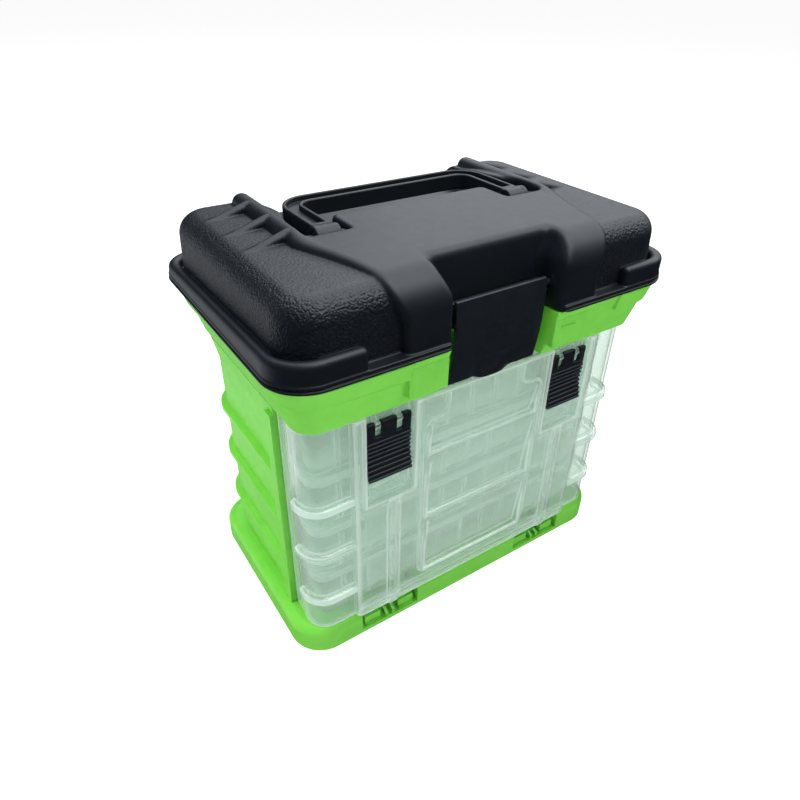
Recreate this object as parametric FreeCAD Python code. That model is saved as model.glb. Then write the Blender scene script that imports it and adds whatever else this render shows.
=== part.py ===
import FreeCAD, Part
import math
import os

# Fishing tackle box: a bulk bin under a lid, over four pull-out organizers behind a clear front door.
# Millimetres. X is the width, -Y is the front, +Z is up, and the origin is the bottom centre.

Vec = FreeCAD.Vector

# ---- driving dimensions ----
WIDTH, DEPTH, HEIGHT = 270.0, 180.0, 256.0

PLINTH_W, PLINTH_D, PLINTH_H = 258.0, 150.0, 19.5
PLINTH_R = 22.0
ROLLED_EDGE = 6.0
PLINTH_SKIN = 4.0
SCREW_D, SCREW_LENGTH = 1.8, 12.0

WALL = 3.0
SHELL_X = 119.0          # outer face of the side walls
SHELL_FRONT = -34.0      # where the side walls meet the front flanges
SHELL_BACK = 66.0
SHELL_CORNER = 24.0
SHELL_TOP = 177.0
FLANGE_X, FLANGE_D = 123.0, 8.0
RIB_OUT = 3.6
RIB_HALF = 1.8           # half the height of a rib's lip
RIB_LEVELS = (125.5, 88.5, 51.0)

TIERS = 4
TIER_PITCH = 39.1
ORG_W, ORG_D, ORG_H = 226.0, 120.0, 37.2
ORG_FRONT = -64.0
ORG_R = 9.0
ORG_WALL = 1.6
ORG_LID = 2.0
RAIL_IN, RAIL_T = 110.0, 1.3
SLIDE_GAP = 0.3

BIN_TOP = 209.0
BIN_BASE_X, BIN_TOP_X = 121.5, 131.0
BIN_BASE_FRONT, BIN_TOP_FRONT = -77.0, -87.0
BIN_BACK = 79.0
BIN_WALL = 2.4
BIN_FLOOR = 3.0

LID_BASE = 209.5
LID_R = 24.0
DECK = 222.0
DOME_TOP = 250.0
BRIDGE_TOP = 254.0
LID_WALL = 2.5
DOME_FRONT, DOME_BACK, DOME_X = -84.0, 80.0, 127.0
BRIDGE_BACK = 40.0       # where the bridge starts to fall away behind the grip
EDGE_X, EDGE_R = 88.6, 6.0           # the rib along the bridge's edge
WELL_X = 82.4            # half the grip well's width at its front

HINGE_Y, HINGE_Z = 85.0, 209.0
HINGE_PIN_D = 3.0
DOOR_PIVOT = (-69.0, 12.5)
DOOR_PIN_D = 4.4
NOTCH_IN, NOTCH_OUT = 44.0, 88.0

DOOR_T = 2.2
DOOR_FRONT = -75.0       # middle panel
DOOR_STEP = -71.0        # columns beside the middle panel
DOOR_MID_X = 90.0
DOOR_X = 118.0
DOOR_BOTTOM, DOOR_TOP = 20.2, 175.5
DOOR_RETURN = -43.0
DOOR_SWING = 163.9       # the door's top is cut to this radius about its pins, to clear the bin
RIDGE_LEVELS = (119.5, 83.0, 46.0)

LATCH_X, LATCH_W = 68.0, 28.5            # small door latches
LATCH_PIVOT = (-72.5, 166.0)
RECESS_FLOOR = -69.4

BIG_LATCH_W = 63.0
BIG_PIVOT = (-75.0, 224.0)
RECESS_X = 38.0

GRIP_PIVOT = (-8.0, 249.0)
GRIP_X, GRIP_W, GRIP_H = 67.0, 12.0, 9.0
GRIP_BACK = 49.0


# ---- helpers ----
def box(x0, x1, y0, y1, z0, z1):
    """A box between two corners."""
    return Part.makeBox(x1 - x0, y1 - y0, z1 - z0, Vec(x0, y0, z0))


def rod(x0, x1, y, z, diameter):
    """A round bar along X."""
    return Part.makeCylinder(diameter / 2, x1 - x0, Vec(x0, y, z), Vec(1, 0, 0))


def union(shapes):
    """One solid from overlapping ones."""
    first, *rest = shapes
    return first.multiFuse(rest).removeSplitter() if rest else first


def mirror(shape):
    """The same piece on the other side of the box."""
    return shape.mirror(Vec(0, 0, 0), Vec(1, 0, 0))


def both_sides(shape):
    return [shape, mirror(shape)]


def outline(x0, x1, y0, y1, z, radii):
    """A rectangle with its own radius at each corner: front left, front right, back right, back left."""
    corners = [Vec(x0, y0, z), Vec(x1, y0, z), Vec(x1, y1, z), Vec(x0, y1, z)]
    edges, ends = [], []
    for i, corner in enumerate(corners):
        before = (corners[i - 1] - corner).normalize()
        after = (corners[(i + 1) % 4] - corner).normalize()
        r = radii[i]
        start, end = corner + before * r, corner + after * r
        middle = corner + (before + after) * (r * (1 - math.sqrt(0.5)))
        ends.append((start, end))
        if r > 0:
            edges.append(Part.Arc(start, middle, end).toShape())
    for i in range(4):
        start, end = ends[i][1], ends[(i + 1) % 4][0]
        edges.append(Part.LineSegment(start, end).toShape())
    return Part.Wire(Part.__sortEdges__(edges))


def slab(x0, x1, y0, y1, z0, z1, radius):
    """A block with rounded vertical corners."""
    radii = (radius,) * 4 if isinstance(radius, (int, float)) else radius
    return Part.Face(outline(x0, x1, y0, y1, z0, radii)).extrude(Vec(0, 0, z1 - z0))


def centred(width, depth, z0, z1, radius):
    return slab(-width / 2, width / 2, -depth / 2, depth / 2, z0, z1, radius)


def loft(sections):
    return Part.makeLoft(sections, True, True)


def side_profile(points, x0, x1):
    """A solid whose outline in the YZ plane is extruded along X."""
    ring = [Vec(x0, y, z) for y, z in points]
    return Part.Face(Part.makePolygon(ring + ring[:1])).extrude(Vec(x1 - x0, 0, 0))


def plan_profile(points, z0, z1):
    ring = [Vec(x, y, z0) for x, y in points]
    return Part.Face(Part.makePolygon(ring + ring[:1])).extrude(Vec(0, 0, z1 - z0))


def soften(shape, radius, chosen):
    """Round the edges that the test picks."""
    edges = [e for e in shape.Edges if chosen(e)]
    return shape.makeFillet(radius, edges)


def level_edges(z):
    """Picks the edges that lie in one horizontal plane."""
    return lambda e: abs(e.BoundBox.ZMin - z) < 0.01 and abs(e.BoundBox.ZMax - z) < 0.01


def save(name, shape):
    solids = shape.Solids
    result = solids[0] if len(solids) == 1 else Part.Compound(solids)
    assert solids and result.isValid(), name
    result.exportStep(os.path.join("parts", name + ".step"))
    print(f"{name:26s} solids {len(solids)}  volume {result.Volume / 1000:8.1f} cm3")


# ---- green body ----
def make_plinth():
    """The wide foot: a rolled tray upside down, with two notches that hold the door's hinge pins."""
    body = centred(PLINTH_W, PLINTH_D, 0, PLINTH_H, PLINTH_R)
    body = soften(body, ROLLED_EDGE, level_edges(PLINTH_H))
    skin = PLINTH_SKIN
    hollow = centred(PLINTH_W - 2 * skin, PLINTH_D - 2 * skin, 0, PLINTH_H - skin, PLINTH_R - skin)
    front = -PLINTH_D / 2
    depth = 15.0
    blocks = both_sides(box(NOTCH_IN - 4, NOTCH_OUT + 4, front, front + depth + 4, 0, PLINTH_H))
    ribs = [box(x - 1.2, x + 1.2, front, -front, 0, PLINTH_H) for x in (-80, 80)]
    body = body.cut(hollow.cut(union(blocks + ribs)))
    notch = box(NOTCH_IN, NOTCH_OUT, front - 1, front + depth, 3.5, PLINTH_H + 1)
    body = body.cut(union(both_sides(notch)))
    body = union([body] + both_sides(union(hinge_clips(front, depth))))
    return body.cut(Part.Compound(screw_shanks(SCREW_D + 0.5)))


def hinge_clips(front, depth):
    """Two C-shaped clips and two small posts that stand in one notch."""
    y, z = DOOR_PIVOT
    middle = (NOTCH_IN + NOTCH_OUT) / 2
    parts = []
    for x in (middle - 13.2, middle + 13.2):
        clip = box(x - 6, x + 6, front + 2.2, front + depth + 0.5, 4.5, PLINTH_H - 1.5)
        bore = rod(x - 7, x + 7, y, z, DOOR_PIN_D + 0.7)
        mouth = box(x - 7, x + 7, front - 1, y, z - 1.7, z + 1.7)
        post = box(x - 6, x + 6, front + 1, front + depth + 0.5, 3, 4.6)
        parts += [clip.cut(bore).cut(mouth), post]
    for x in (middle - 2.6, middle + 2.6):
        parts.append(side_profile([(front + 1, 3), (front + 1, 6.5), (front + 5, 8.5), (front + 5, 3)],
                                  x - 1.1, x + 1.1))
    return parts


def make_body_shell():
    """Left wall, back and right wall in one moulding, with outside ribs and inside rails."""
    radii = (0, 0, SHELL_CORNER, SHELL_CORNER)
    inner_radii = (0, 0, SHELL_CORNER - WALL, SHELL_CORNER - WALL)
    front = SHELL_FRONT - FLANGE_D
    outer = slab(-SHELL_X, SHELL_X, front, SHELL_BACK, PLINTH_H, SHELL_TOP, radii)
    flare = loft([outline(-SHELL_X, SHELL_X, front, SHELL_BACK, SHELL_TOP - 15, (0.5, 0.5, 24, 24)),
                  outline(-BIN_BASE_X, BIN_BASE_X, front, BIN_BACK - 9, SHELL_TOP, (0.5, 0.5, 24, 24))])
    ribs = [outside_rib(level) for level in RIB_LEVELS]
    flanges = both_sides(box(SHELL_X - WALL, FLANGE_X, front, SHELL_FRONT, PLINTH_H, SHELL_TOP - 6))
    body = union([outer, flare] + ribs + flanges)
    inside = SHELL_X - WALL
    body = body.cut(slab(-inside, inside, front - 1, SHELL_BACK - WALL, PLINTH_H - 1, SHELL_TOP + 1,
                         inner_radii))
    rails = []
    for tier in range(1, TIERS):
        top = tier_bottom(tier) - SLIDE_GAP
        rails += both_sides(box(RAIL_IN, inside + 0.5, front + 4, SHELL_BACK - SHELL_CORNER,
                                top - RAIL_T, top))
    return union([body] + rails).cut(Part.Compound(screw_shanks(SCREW_D)))


def outside_rib(level):
    """A narrow rib around the wall, drafted above and below."""
    def ring(offset, z):
        return outline(-SHELL_X - offset, SHELL_X + offset, SHELL_FRONT, SHELL_BACK + offset, z,
                       (0.4, 0.4, SHELL_CORNER + offset, SHELL_CORNER + offset))
    foot = RIB_HALF + 1.4
    steps = [(0.0, level + foot), (RIB_OUT, level + RIB_HALF), (RIB_OUT, level - RIB_HALF),
             (0.0, level - foot)]
    pieces = [loft([ring(a, za), ring(b, zb)]) for (a, za), (b, zb) in zip(steps, steps[1:])]
    return union(pieces)


def screw_shanks(diameter):
    """The shanks of the screws that hold the shell's feet, or the holes for them."""
    shanks = []
    for x in (-SHELL_X + WALL / 2, SHELL_X - WALL / 2):
        for y in (-20.0, 30.0):
            shanks.append(Part.makeCylinder(diameter / 2, SCREW_LENGTH, Vec(x, y, PLINTH_H - PLINTH_SKIN)))
    return shanks


def make_screws():
    """Screws that come up through the plinth into the shell's feet."""
    screws = []
    for shank in screw_shanks(SCREW_D):
        foot = Vec(shank.BoundBox.Center.x, shank.BoundBox.Center.y, PLINTH_H - PLINTH_SKIN - 1.6)
        screws.append(shank.fuse(Part.makeCylinder(2.6, 1.6, foot)).removeSplitter())
    return Part.Compound(screws)


def make_bin():
    """The bulk bin: a flared tub with a proud band, a flat middle for the big latch, hinge arms behind."""
    def ring(z, inset=0.0, proud=0.0):
        t = (z - SHELL_TOP) / (BIN_TOP - SHELL_TOP)
        x = BIN_BASE_X + (BIN_TOP_X - BIN_BASE_X) * t - inset + proud
        y = BIN_BASE_FRONT + (BIN_TOP_FRONT - BIN_BASE_FRONT) * t + inset - proud
        back = BIN_BACK - 9 * (1 - t) - inset
        return outline(-x, x, y, back, z, (22 - inset,) * 4)
    ledge = SHELL_TOP + 20
    tub = loft([ring(SHELL_TOP), ring(BIN_TOP)])
    band = loft([ring(ledge, proud=1.4), ring(BIN_TOP, proud=1.4)])
    band = band.cut(box(-64, 64, -100, 0, SHELL_TOP, BIN_TOP + 1)).cut(box(-140, 140, 78, 100, 0, 300))
    body = tub.fuse(band)
    front_recess = box(-RECESS_X, RECESS_X, -100, -72, SHELL_TOP - 1, BIN_TOP + 1)
    body = body.cut(front_recess)
    hollow = loft([ring(SHELL_TOP + BIN_FLOOR, BIN_WALL), ring(BIN_TOP, BIN_WALL)])
    lip = ring(BIN_TOP, BIN_WALL)
    hollow = hollow.fuse(Part.Face(lip).extrude(Vec(0, 0, 2)))
    hollow = hollow.cut(box(-RECESS_X - BIN_WALL, RECESS_X + BIN_WALL, -100, -72 + BIN_WALL, 0, 300))
    body = body.cut(hollow)
    panel_y = BIN_BASE_FRONT
    panels = both_sides(side_profile([(panel_y - 0.9, SHELL_TOP + 3), (panel_y - 4.0, SHELL_TOP + 13),
                                      (panel_y, SHELL_TOP + 13), (panel_y + 2, SHELL_TOP + 3)],
                                     RECESS_X, 63))
    catch = box(-20, 20, -73.2, -71, 184, 186.5)
    arms = []
    for x in (62.0, 88.0):
        arm = hinge_arm(x - 5, x + 5)
        arms += both_sides(arm)
    return union([body] + panels + [catch] + arms)


def hinge_arm(x0, x1):
    """A bracket from the bin's back to the lid hinge pin."""
    web = side_profile([(BIN_BACK - 2, 196), (BIN_BACK - 2, 206.5), (HINGE_Y, 212), (HINGE_Y + 3, 208),
                        (HINGE_Y + 1.5, 204.5)], x0, x1)
    arm = web.fuse(rod(x0, x1, HINGE_Y, HINGE_Z, 7.0))
    return arm.cut(rod(x0 - 1, x1 + 1, HINGE_Y, HINGE_Z, HINGE_PIN_D))


def make_hinge_pin(sign):
    x0, x1 = sorted((sign * 56.0, sign * 94.0))
    return rod(x0, x1, HINGE_Y, HINGE_Z, HINGE_PIN_D)


# ---- lid ----
def make_lid():
    """A skirted shell: two grained domes, a raised bridge between them, a grip well and a latch recess."""
    skirt = [centred(WIDTH, DEPTH, LID_BASE, LID_BASE + 3, LID_R),
             centred(WIDTH - 3, DEPTH - 3, LID_BASE + 3, DECK, LID_R - 1.5)]
    bead = soften(centred(WIDTH - 1, DEPTH - 1, LID_BASE + 4.5, DECK + 5, LID_R - 0.5), 3.5,
                  level_edges(DECK + 5))
    bead = bead.cut(centred(WIDTH - 11, DEPTH - 11, DECK - 8, DECK + 6, LID_R - 5.5))
    bead = bead.cut(box(-88, 88, -DEPTH, 0, DECK - 9, DECK + 6))
    domes = both_sides(dome(60, DOME_X, DOME_FRONT, DOME_BACK, DECK - 4, DOME_TOP, 12))
    shape = union(skirt + [bead] + domes + [bridge()] + both_sides(union(bridge_rib() + gussets())))
    shape = shape.cut(box(-RECESS_X, RECESS_X, -DEPTH, -65, LID_BASE - 1, HEIGHT))
    shape = shape.cut(grip_well(0)).cut(lid_hollow())
    bosses = both_sides(rod(RECESS_X - 0.5, RECESS_X + 6, *BIG_PIVOT, 9))
    shape = union([shape] + [b.cut(box(-RECESS_X, RECESS_X, -90, 0, 0, 300)) for b in bosses])
    shape = shape.cut(rod(-RECESS_X - 4, RECESS_X + 4, *BIG_PIVOT, 4.0))
    for side in (-1, 1):
        x0, x1 = sorted((side * 52.0, side * 90.0))
        shape = shape.cut(rod(x0, x1, *GRIP_PIVOT, 4.0))
    return lid_knuckles(shape)


def dome(x0, x1, y0, y1, z0, z1, radius):
    """One side dome, with a large radius round its top."""
    return soften(slab(x0, x1, y0, y1, z0, z1, (2, 20, 20, 2)), radius, level_edges(z1))


def bridge():
    """The raised middle: narrower at the front, where two legs run down beside the latch."""
    side = side_profile([(-87, LID_BASE + 3), (-86, 234), (-80, 244), (-72, 250), (-58, BRIDGE_TOP),
                         (BRIDGE_BACK, BRIDGE_TOP), (BRIDGE_BACK + 18, 250), (DOME_BACK - 12, 248),
                         (DOME_BACK - 2, DECK - 4), (0, LID_BASE + 3)], -97, 97)
    wide, back = EDGE_X + 5.0, DOME_BACK + 2
    half = [(0, -90), (67, -90), (72, -79), (76.5, -67), (79.5, -53), (84, -39), (89, -26), (wide, -14),
            (wide, back), (0, back)]
    plan = half + [(-x, y) for x, y in reversed(half[1:-1])]
    return side.common(plan_profile(plan, 200, 300))


def bridge_rib():
    """The half-round rib along the bridge's edge, ending in a rounded nose at the back."""
    start, end, level = -20.0, 64.0, HEIGHT - EDGE_R
    bar = Part.makeCylinder(EDGE_R, end - start, Vec(EDGE_X, start, level), Vec(0, 1, 0))
    nose = Part.makeSphere(EDGE_R, Vec(EDGE_X, end, level))
    root = slab(EDGE_X - EDGE_R, EDGE_X + EDGE_R, start, end + EDGE_R, DECK, level, (0, 0, 5.9, 5.9))
    return [bar, nose, root]


def gussets():
    """Three slanting fins that brace the rib against the dome."""
    wedge = Part.Face(Part.makePolygon([Vec(x, -60, z) for x, z in (
        (EDGE_X - 3, 244), (116, 244), (116, 248.0), (EDGE_X, HEIGHT - 1.5), (EDGE_X - 3, 244))]))
    wedge = wedge.extrude(Vec(0, 140, 0))
    return [plan_profile([(EDGE_X, y - 2.6), (EDGE_X, y + 3.2), (113, y - 0.8), (113, y - 6.0)], 244, HEIGHT)
            .common(wedge) for y in (-5.8, 20.6, 48.2)]


def grip_well(grow):
    """The space that the folded grip lies in, and the finger gap behind the bridge's plate."""
    floor = 236.0 - grow
    back = DOME_BACK + 2
    pocket = plan_profile([(55 - grow, -15.5 - grow), (WELL_X + grow, -15.5 - grow), (WELL_X + grow, 4),
                           (76 + grow, 30), (75.5 + grow, back), (0, back), (0, 9.5 - grow),
                           (55 - grow, 9.5 - grow)], floor, HEIGHT + 5)
    return pocket.fuse(mirror(pocket))


def lid_hollow():
    """The space inside the lid, clear of the well and the latch recess."""
    t = LID_WALL
    under = centred(WIDTH - 4 * t, DEPTH - 4 * t, LID_BASE - 1, DECK - t, LID_R - 2 * t)
    domes = both_sides(slab(62, DOME_X - t, DOME_FRONT + t, DOME_BACK - t, LID_BASE - 1, DOME_TOP - t - 4,
                            (2, 17, 17, 2)))
    high = both_sides(slab(62, DOME_X - t - 6, DOME_FRONT + t + 6, DOME_BACK - t - 6, DOME_TOP - t - 5,
                           DOME_TOP - t, (2, 14, 14, 2)))
    middle = side_profile([(DOME_FRONT + t, LID_BASE), (DOME_FRONT + t, 232), (-74, 245),
                           (-60, BRIDGE_TOP - t - 1), (BRIDGE_BACK - 2, BRIDGE_TOP - t - 1),
                           (BRIDGE_BACK + 12, 240), (DOME_BACK - t - 4, LID_BASE)], -64, 64)
    hollow = union([under] + domes + high + [middle])
    keep = box(-RECESS_X - t, RECESS_X + t, -DEPTH, -65 + t, LID_BASE - 2, HEIGHT)
    return hollow.cut(keep).cut(grip_well(t))


def lid_knuckles(shape):
    """Hinge barrels between the bin's arms, and room for those arms."""
    for side in (-1, 1):
        for x in (62.0, 88.0):
            x0, x1 = sorted((side * (x - 5.4), side * (x + 5.4)))
            shape = shape.cut(rod(x0, x1, HINGE_Y, HINGE_Z, 11.5))
            shape = shape.cut(box(x0, x1, HINGE_Y, DEPTH, HINGE_Z - 6, HINGE_Z + 5))
        x0, x1 = sorted((side * 68.0, side * 82.0))
        web = box(x0, x1, HINGE_Y - 3.2, HINGE_Y + 3.5, HINGE_Z, LID_BASE + 2)
        barrel = web.fuse(rod(x0, x1, HINGE_Y, HINGE_Z, 7.0))
        x0, x1 = sorted((side * 55.0, side * 95.0))
        shape = shape.fuse(barrel).cut(rod(x0, x1, HINGE_Y, HINGE_Z, HINGE_PIN_D + 0.5))
    return shape.removeSplitter()


def make_grip():
    """The folding carry handle: a channel-section bow between two pivot barrels."""
    y, z = GRIP_PIVOT
    x_out, x_in = GRIP_X + GRIP_W / 2, GRIP_X - GRIP_W / 2
    z0, z1 = z - GRIP_H / 2, z + GRIP_H / 2 + 1
    bow = slab(-x_out, x_out, y, GRIP_BACK, z0, z1, (0, 0, 19, 19))
    bow = bow.cut(slab(-x_in, x_in, y - 1, GRIP_BACK - 14, z0 - 1, z1 + 1, (0, 0, 7, 7)))
    for low, high in ((z1 - 3.2, z1 + 1), (z0 - 1, z0 + 3.2)):
        groove = slab(-x_out + 2.6, x_out - 2.6, y + 7.5, GRIP_BACK - 2.6, low, high, (0, 0, 16.4, 16.4))
        groove = groove.cut(slab(-x_in - 2.6, x_in + 2.6, y - 2, GRIP_BACK - 14 + 2.6, low - 1, high + 1,
                                 (0, 0, 9.6, 9.6)))
        bow = bow.cut(groove)
    barrels = both_sides(rod(GRIP_X - 7.4, GRIP_X + 7.4, y, z, 12.0))
    grip = union([bow] + barrels)
    return grip.cut(union(both_sides(rod(GRIP_X - 9, GRIP_X + 9, y, z, 4.3))))


def make_grip_pin(sign):
    x0, x1 = sorted((sign * 52.0, sign * 88.0))
    return rod(x0, x1, *GRIP_PIVOT, 4.0)


def make_big_latch():
    """The wide lid latch: a bowed plate with a finger lip and a barrel near its top."""
    y, z = BIG_PIVOT
    half = BIG_LATCH_W / 2
    face = [(-79.7, 229.8), (-81.4, 215), (-81.2, 200), (-79.8, 188), (-77.8, 178.5)]
    back = [(-75.2, 178.5), (-76.8, 188), (-77.9, 200), (-77.9, 215), (-77.0, 229.8)]
    plate = side_profile(face + back, -half, half)
    web = box(-half + 2, half - 2, -79.0, y, z - 3, z + 3)
    barrel = rod(-half, half, y, z, 8.0)
    lip = side_profile([(-77.8, 178.6), (-79.6, 184), (-76.4, 184), (-75.2, 178.6), (-75.6, 176.6),
                        (-77.2, 176.6)], -15, 15)
    latch = union([plate, web, barrel, lip])
    return latch.cut(rod(-half - 1, half + 1, y, z, 4.4))


def make_big_latch_pin():
    return rod(-RECESS_X - 3.5, RECESS_X + 3.5, *BIG_PIVOT, 4.0)


# ---- clear front door ----
def make_door():
    """A one-piece clear cover that wraps both front corners and swings down on pins in the plinth."""
    z0, z1 = DOOR_BOTTOM, DOOR_TOP
    outer = door_block(0, z0, z1)
    inner = door_block(DOOR_T, z0 - 1, z1 + 1)
    door = outer.cut(inner)
    door = union([door] + both_sides(union(corner_ridges())))
    recess = box(LATCH_X - 18, LATCH_X + 17, -80, RECESS_FLOOR, 110, z1 + 1)
    pocket = box(LATCH_X - 18 - DOOR_T, LATCH_X + 17 + DOOR_T, DOOR_FRONT, RECESS_FLOOR + 2.0,
                 110 - DOOR_T, z1)
    door = union([door] + both_sides(pocket)).cut(union(both_sides(recess)))
    rib = box(LATCH_X - 3.4, LATCH_X + 1.4, DOOR_FRONT - 1.0, DOOR_FRONT + 1, z0, 110)
    catch = side_profile([(RECESS_FLOOR + 0.5, 114), (RECESS_FLOOR - 4.4, 114), (RECESS_FLOOR + 0.5, 121)],
                         LATCH_X - 13, LATCH_X + 10)
    door = union([door] + both_sides(union([rib, catch])) + frame_bars() + both_sides(union(hinge_bars()))
                 + both_sides(union(latch_lugs())))
    door = door.cut(union(both_sides(rod(LATCH_X - 15, LATCH_X + 15, *LATCH_PIVOT, 2.2))))
    return door.common(rod(-WIDTH / 2, WIDTH / 2, *DOOR_PIVOT, 2 * DOOR_SWING))


def door_block(inset, z0, z1):
    """The door's outer form, or its inner form when inset."""
    x, back = DOOR_X - inset, DOOR_RETURN + 0.1 * inset
    columns = slab(-x, x, DOOR_STEP + inset, back, z0, z1, (11 - inset, 11 - inset, 0, 0))
    middle = box(-DOOR_MID_X + inset, DOOR_MID_X - inset, DOOR_FRONT + inset, 0, z0, z1)
    middle = middle.cut(box(-200, 200, back, 10, 0, 300))
    return union([columns, middle])


def corner_ridges():
    """Three bumper ridges on the right corner column."""
    ridges = []
    for level in RIDGE_LEVELS:
        ring = slab(DOOR_MID_X + 1, DOOR_X + 2.6, DOOR_STEP - 2.2, -57, level - 1.4, level + 1.4,
                    (0, 12, 0, 0))
        ridges.append(ring.cut(slab(0, DOOR_X - 1, DOOR_STEP + 1, -40, level - 3, level + 3, (0, 10, 0, 0))))
    return ridges


def frame_bars():
    """The raised frame in the middle of the door, with two cross bars."""
    face = DOOR_FRONT - 1.0
    bars = [box(-45, -42.6, face, DOOR_FRONT + 1, 36, 158), box(42.6, 45, face, DOOR_FRONT + 1, 36, 158),
            box(-45, 45, face, DOOR_FRONT + 1, 34, 36.4), box(-43, 43, face, DOOR_FRONT + 1, 83, 85),
            box(-43, 43, face, DOOR_FRONT + 1, 131, 133)]
    for side in (-1, 1):
        x0, x1 = sorted((side * 45.0, side * 28.0))
        bars.append(box(x0, x1, face, DOOR_FRONT + 1, 157, 159.4))
        x0, x1 = sorted((side * 28.0, side * 30.4))
        bars.append(box(x0, x1, face, DOOR_FRONT + 1, 157, 174))
    return bars


def hinge_bars():
    """A hinge pin with its three arms, moulded under the door's edge."""
    y, z = DOOR_PIVOT
    middle = (NOTCH_IN + NOTCH_OUT) / 2
    foot = DOOR_BOTTOM + 1.5
    arm = [(y + 2.0, z - 0.4), (y + 1.0, foot), (DOOR_FRONT, foot), (DOOR_FRONT, DOOR_BOTTOM),
           (y - 2.2, z + 0.3)]
    parts = [rod(NOTCH_IN + 0.5, NOTCH_OUT - 0.5, y, z, DOOR_PIN_D)]
    for x, half in ((NOTCH_IN + 1.4, 0.9), (middle, 5.6), (NOTCH_OUT - 1.4, 0.9)):
        parts.append(side_profile(arm, x - half, x + half))
    parts.append(box(NOTCH_IN, NOTCH_OUT, DOOR_FRONT, y + 1.0, DOOR_BOTTOM, foot))
    return parts


def latch_lugs():
    """Two lugs that hold a small latch's pin."""
    y, z = LATCH_PIVOT
    return [side_profile([(RECESS_FLOOR + 0.5, z - 4), (y - 1.0, z - 2.2), (y - 2.2, z), (y - 1.0, z + 2.2),
                          (RECESS_FLOOR + 0.5, z + 4)], x - 1.8, x + 1.8)
            for x in (LATCH_X - 7, LATCH_X + 7)]


def make_door_latch(sign):
    """A small latch: an S-shaped plate with grip grooves, slotted around the door's lugs."""
    y, z = LATCH_PIVOT
    half = LATCH_W / 2
    outer = [(y - 1.8, z + 2.0), (y - 2.6, z - 4), (y - 2.2, z - 14), (y - 1.6, z - 24), (y - 2.6, z - 32),
             (y - 3.6, z - 36)]
    inner = [(y - 1.2, z - 36), (y - 0.2, z - 32), (y + 0.6, z - 24), (y + 0.2, z - 14), (y + 0.2, z - 4)]
    plate = side_profile(outer + inner, LATCH_X - half, LATCH_X + half)
    latch = plate.fuse(rod(LATCH_X - half, LATCH_X + half, y, z, 4.6))
    for step in range(7):
        level = z - 12.5 - 3.3 * step
        groove = box(LATCH_X - half + 1.4, LATCH_X + half - 1.4, y - 6, y - 1.75, level, level + 0.9)
        latch = latch.cut(groove)
    for x in (LATCH_X - 7, LATCH_X + 7):
        latch = latch.cut(box(x - 2.3, x + 2.3, y - 6, y + 6, z - 7, z + 4))
    latch = latch.cut(rod(LATCH_X - half - 1, LATCH_X + half + 1, y, z, 2.6))
    return latch if sign > 0 else mirror(latch)


def make_door_latch_pin(sign):
    pin = rod(LATCH_X - 14.0, LATCH_X + 14.0, *LATCH_PIVOT, 2.2)
    return pin if sign > 0 else mirror(pin)


# ---- organizers ----
def tier_bottom(tier):
    """Height of an organizer's underside, counted from the bottom tier."""
    return PLINTH_H + SLIDE_GAP + 0.2 + TIER_PITCH * tier


def make_tray(tier):
    """A clear tray with two fixed walls from front to back and slots for loose dividers."""
    z0 = tier_bottom(tier)
    z1 = z0 + ORG_H - ORG_LID
    x, y0, y1 = ORG_W / 2, ORG_FRONT, ORG_FRONT + ORG_D
    tray = slab(-x, x, y0, y1, z0, z1, ORG_R)
    t = ORG_WALL
    tray = tray.cut(slab(-x + t, x - t, y0 + t, y1 - t, z0 + t, z1 + 1, ORG_R - t))
    walls = [box(-x + 1, x - 1, y - 0.7, y + 0.7, z0 + 1, z1 - 1) for y in bay_walls()]
    keepers = []
    for dx in divider_places():
        for y in (y0 + t, *bay_walls(), y1 - t):
            for side in (-1, 1):
                keepers.append(box(dx + side * 1.3 - 0.5, dx + side * 1.3 + 0.5, y - 2.2, y + 2.2,
                                   z0 + 1, z1 - 3))
    bounds = slab(-x + 0.5, x - 0.5, y0 + 0.5, y1 - 0.5, z0, z1, ORG_R - 0.5)
    return union([tray] + walls + [union(keepers).common(bounds)])


def bay_walls():
    """Where the two fixed walls of a tray stand."""
    return [ORG_FRONT + ORG_D * part / 3 for part in (1, 2)]


def divider_places():
    """Where the loose dividers stand, across the tray."""
    return [ORG_W * (part / 6 - 0.5) for part in range(1, 6)]


def make_dividers(tier):
    """The loose dividers in their keepers: a different layout in each tier."""
    z0 = tier_bottom(tier) + ORG_WALL
    edges = [ORG_FRONT + ORG_WALL, *bay_walls(), ORG_FRONT + ORG_D - ORG_WALL]
    plates = []
    for row, (front, back) in enumerate(zip(edges, edges[1:])):
        for place, x in enumerate(divider_places()):
            if (place + row + tier) % 3 == 2:
                continue
            plates.append(box(x - 0.5, x + 0.5, front + 0.9, back - 0.9, z0 + 0.1, z0 + ORG_H - 7))
    return Part.Compound(plates)


def make_tray_lid(tier):
    """The flat lid of one tray, with a shallow raised rim line."""
    z0 = tier_bottom(tier) + ORG_H - ORG_LID
    x, y0, y1 = ORG_W / 2, ORG_FRONT, ORG_FRONT + ORG_D
    lid = slab(-x, x, y0, y1, z0, z0 + ORG_LID, ORG_R)
    dish = slab(-x + 6, x - 6, y0 + 6, y1 - 6, z0 + 1.2, z0 + ORG_LID + 1, ORG_R - 4)
    return lid.cut(dish)


def make_clips(tier):
    """The two snap clips on the front of one tray."""
    z1 = tier_bottom(tier) + ORG_H
    clip = side_profile([(ORG_FRONT, z1 - 3), (ORG_FRONT - 1.4, z1 - 3), (ORG_FRONT - 1.4, z1 - 22),
                         (ORG_FRONT - 2.4, z1 - 25), (ORG_FRONT, z1 - 25)], LATCH_X - 11, LATCH_X + 11)
    return Part.Compound(both_sides(clip))


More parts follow.
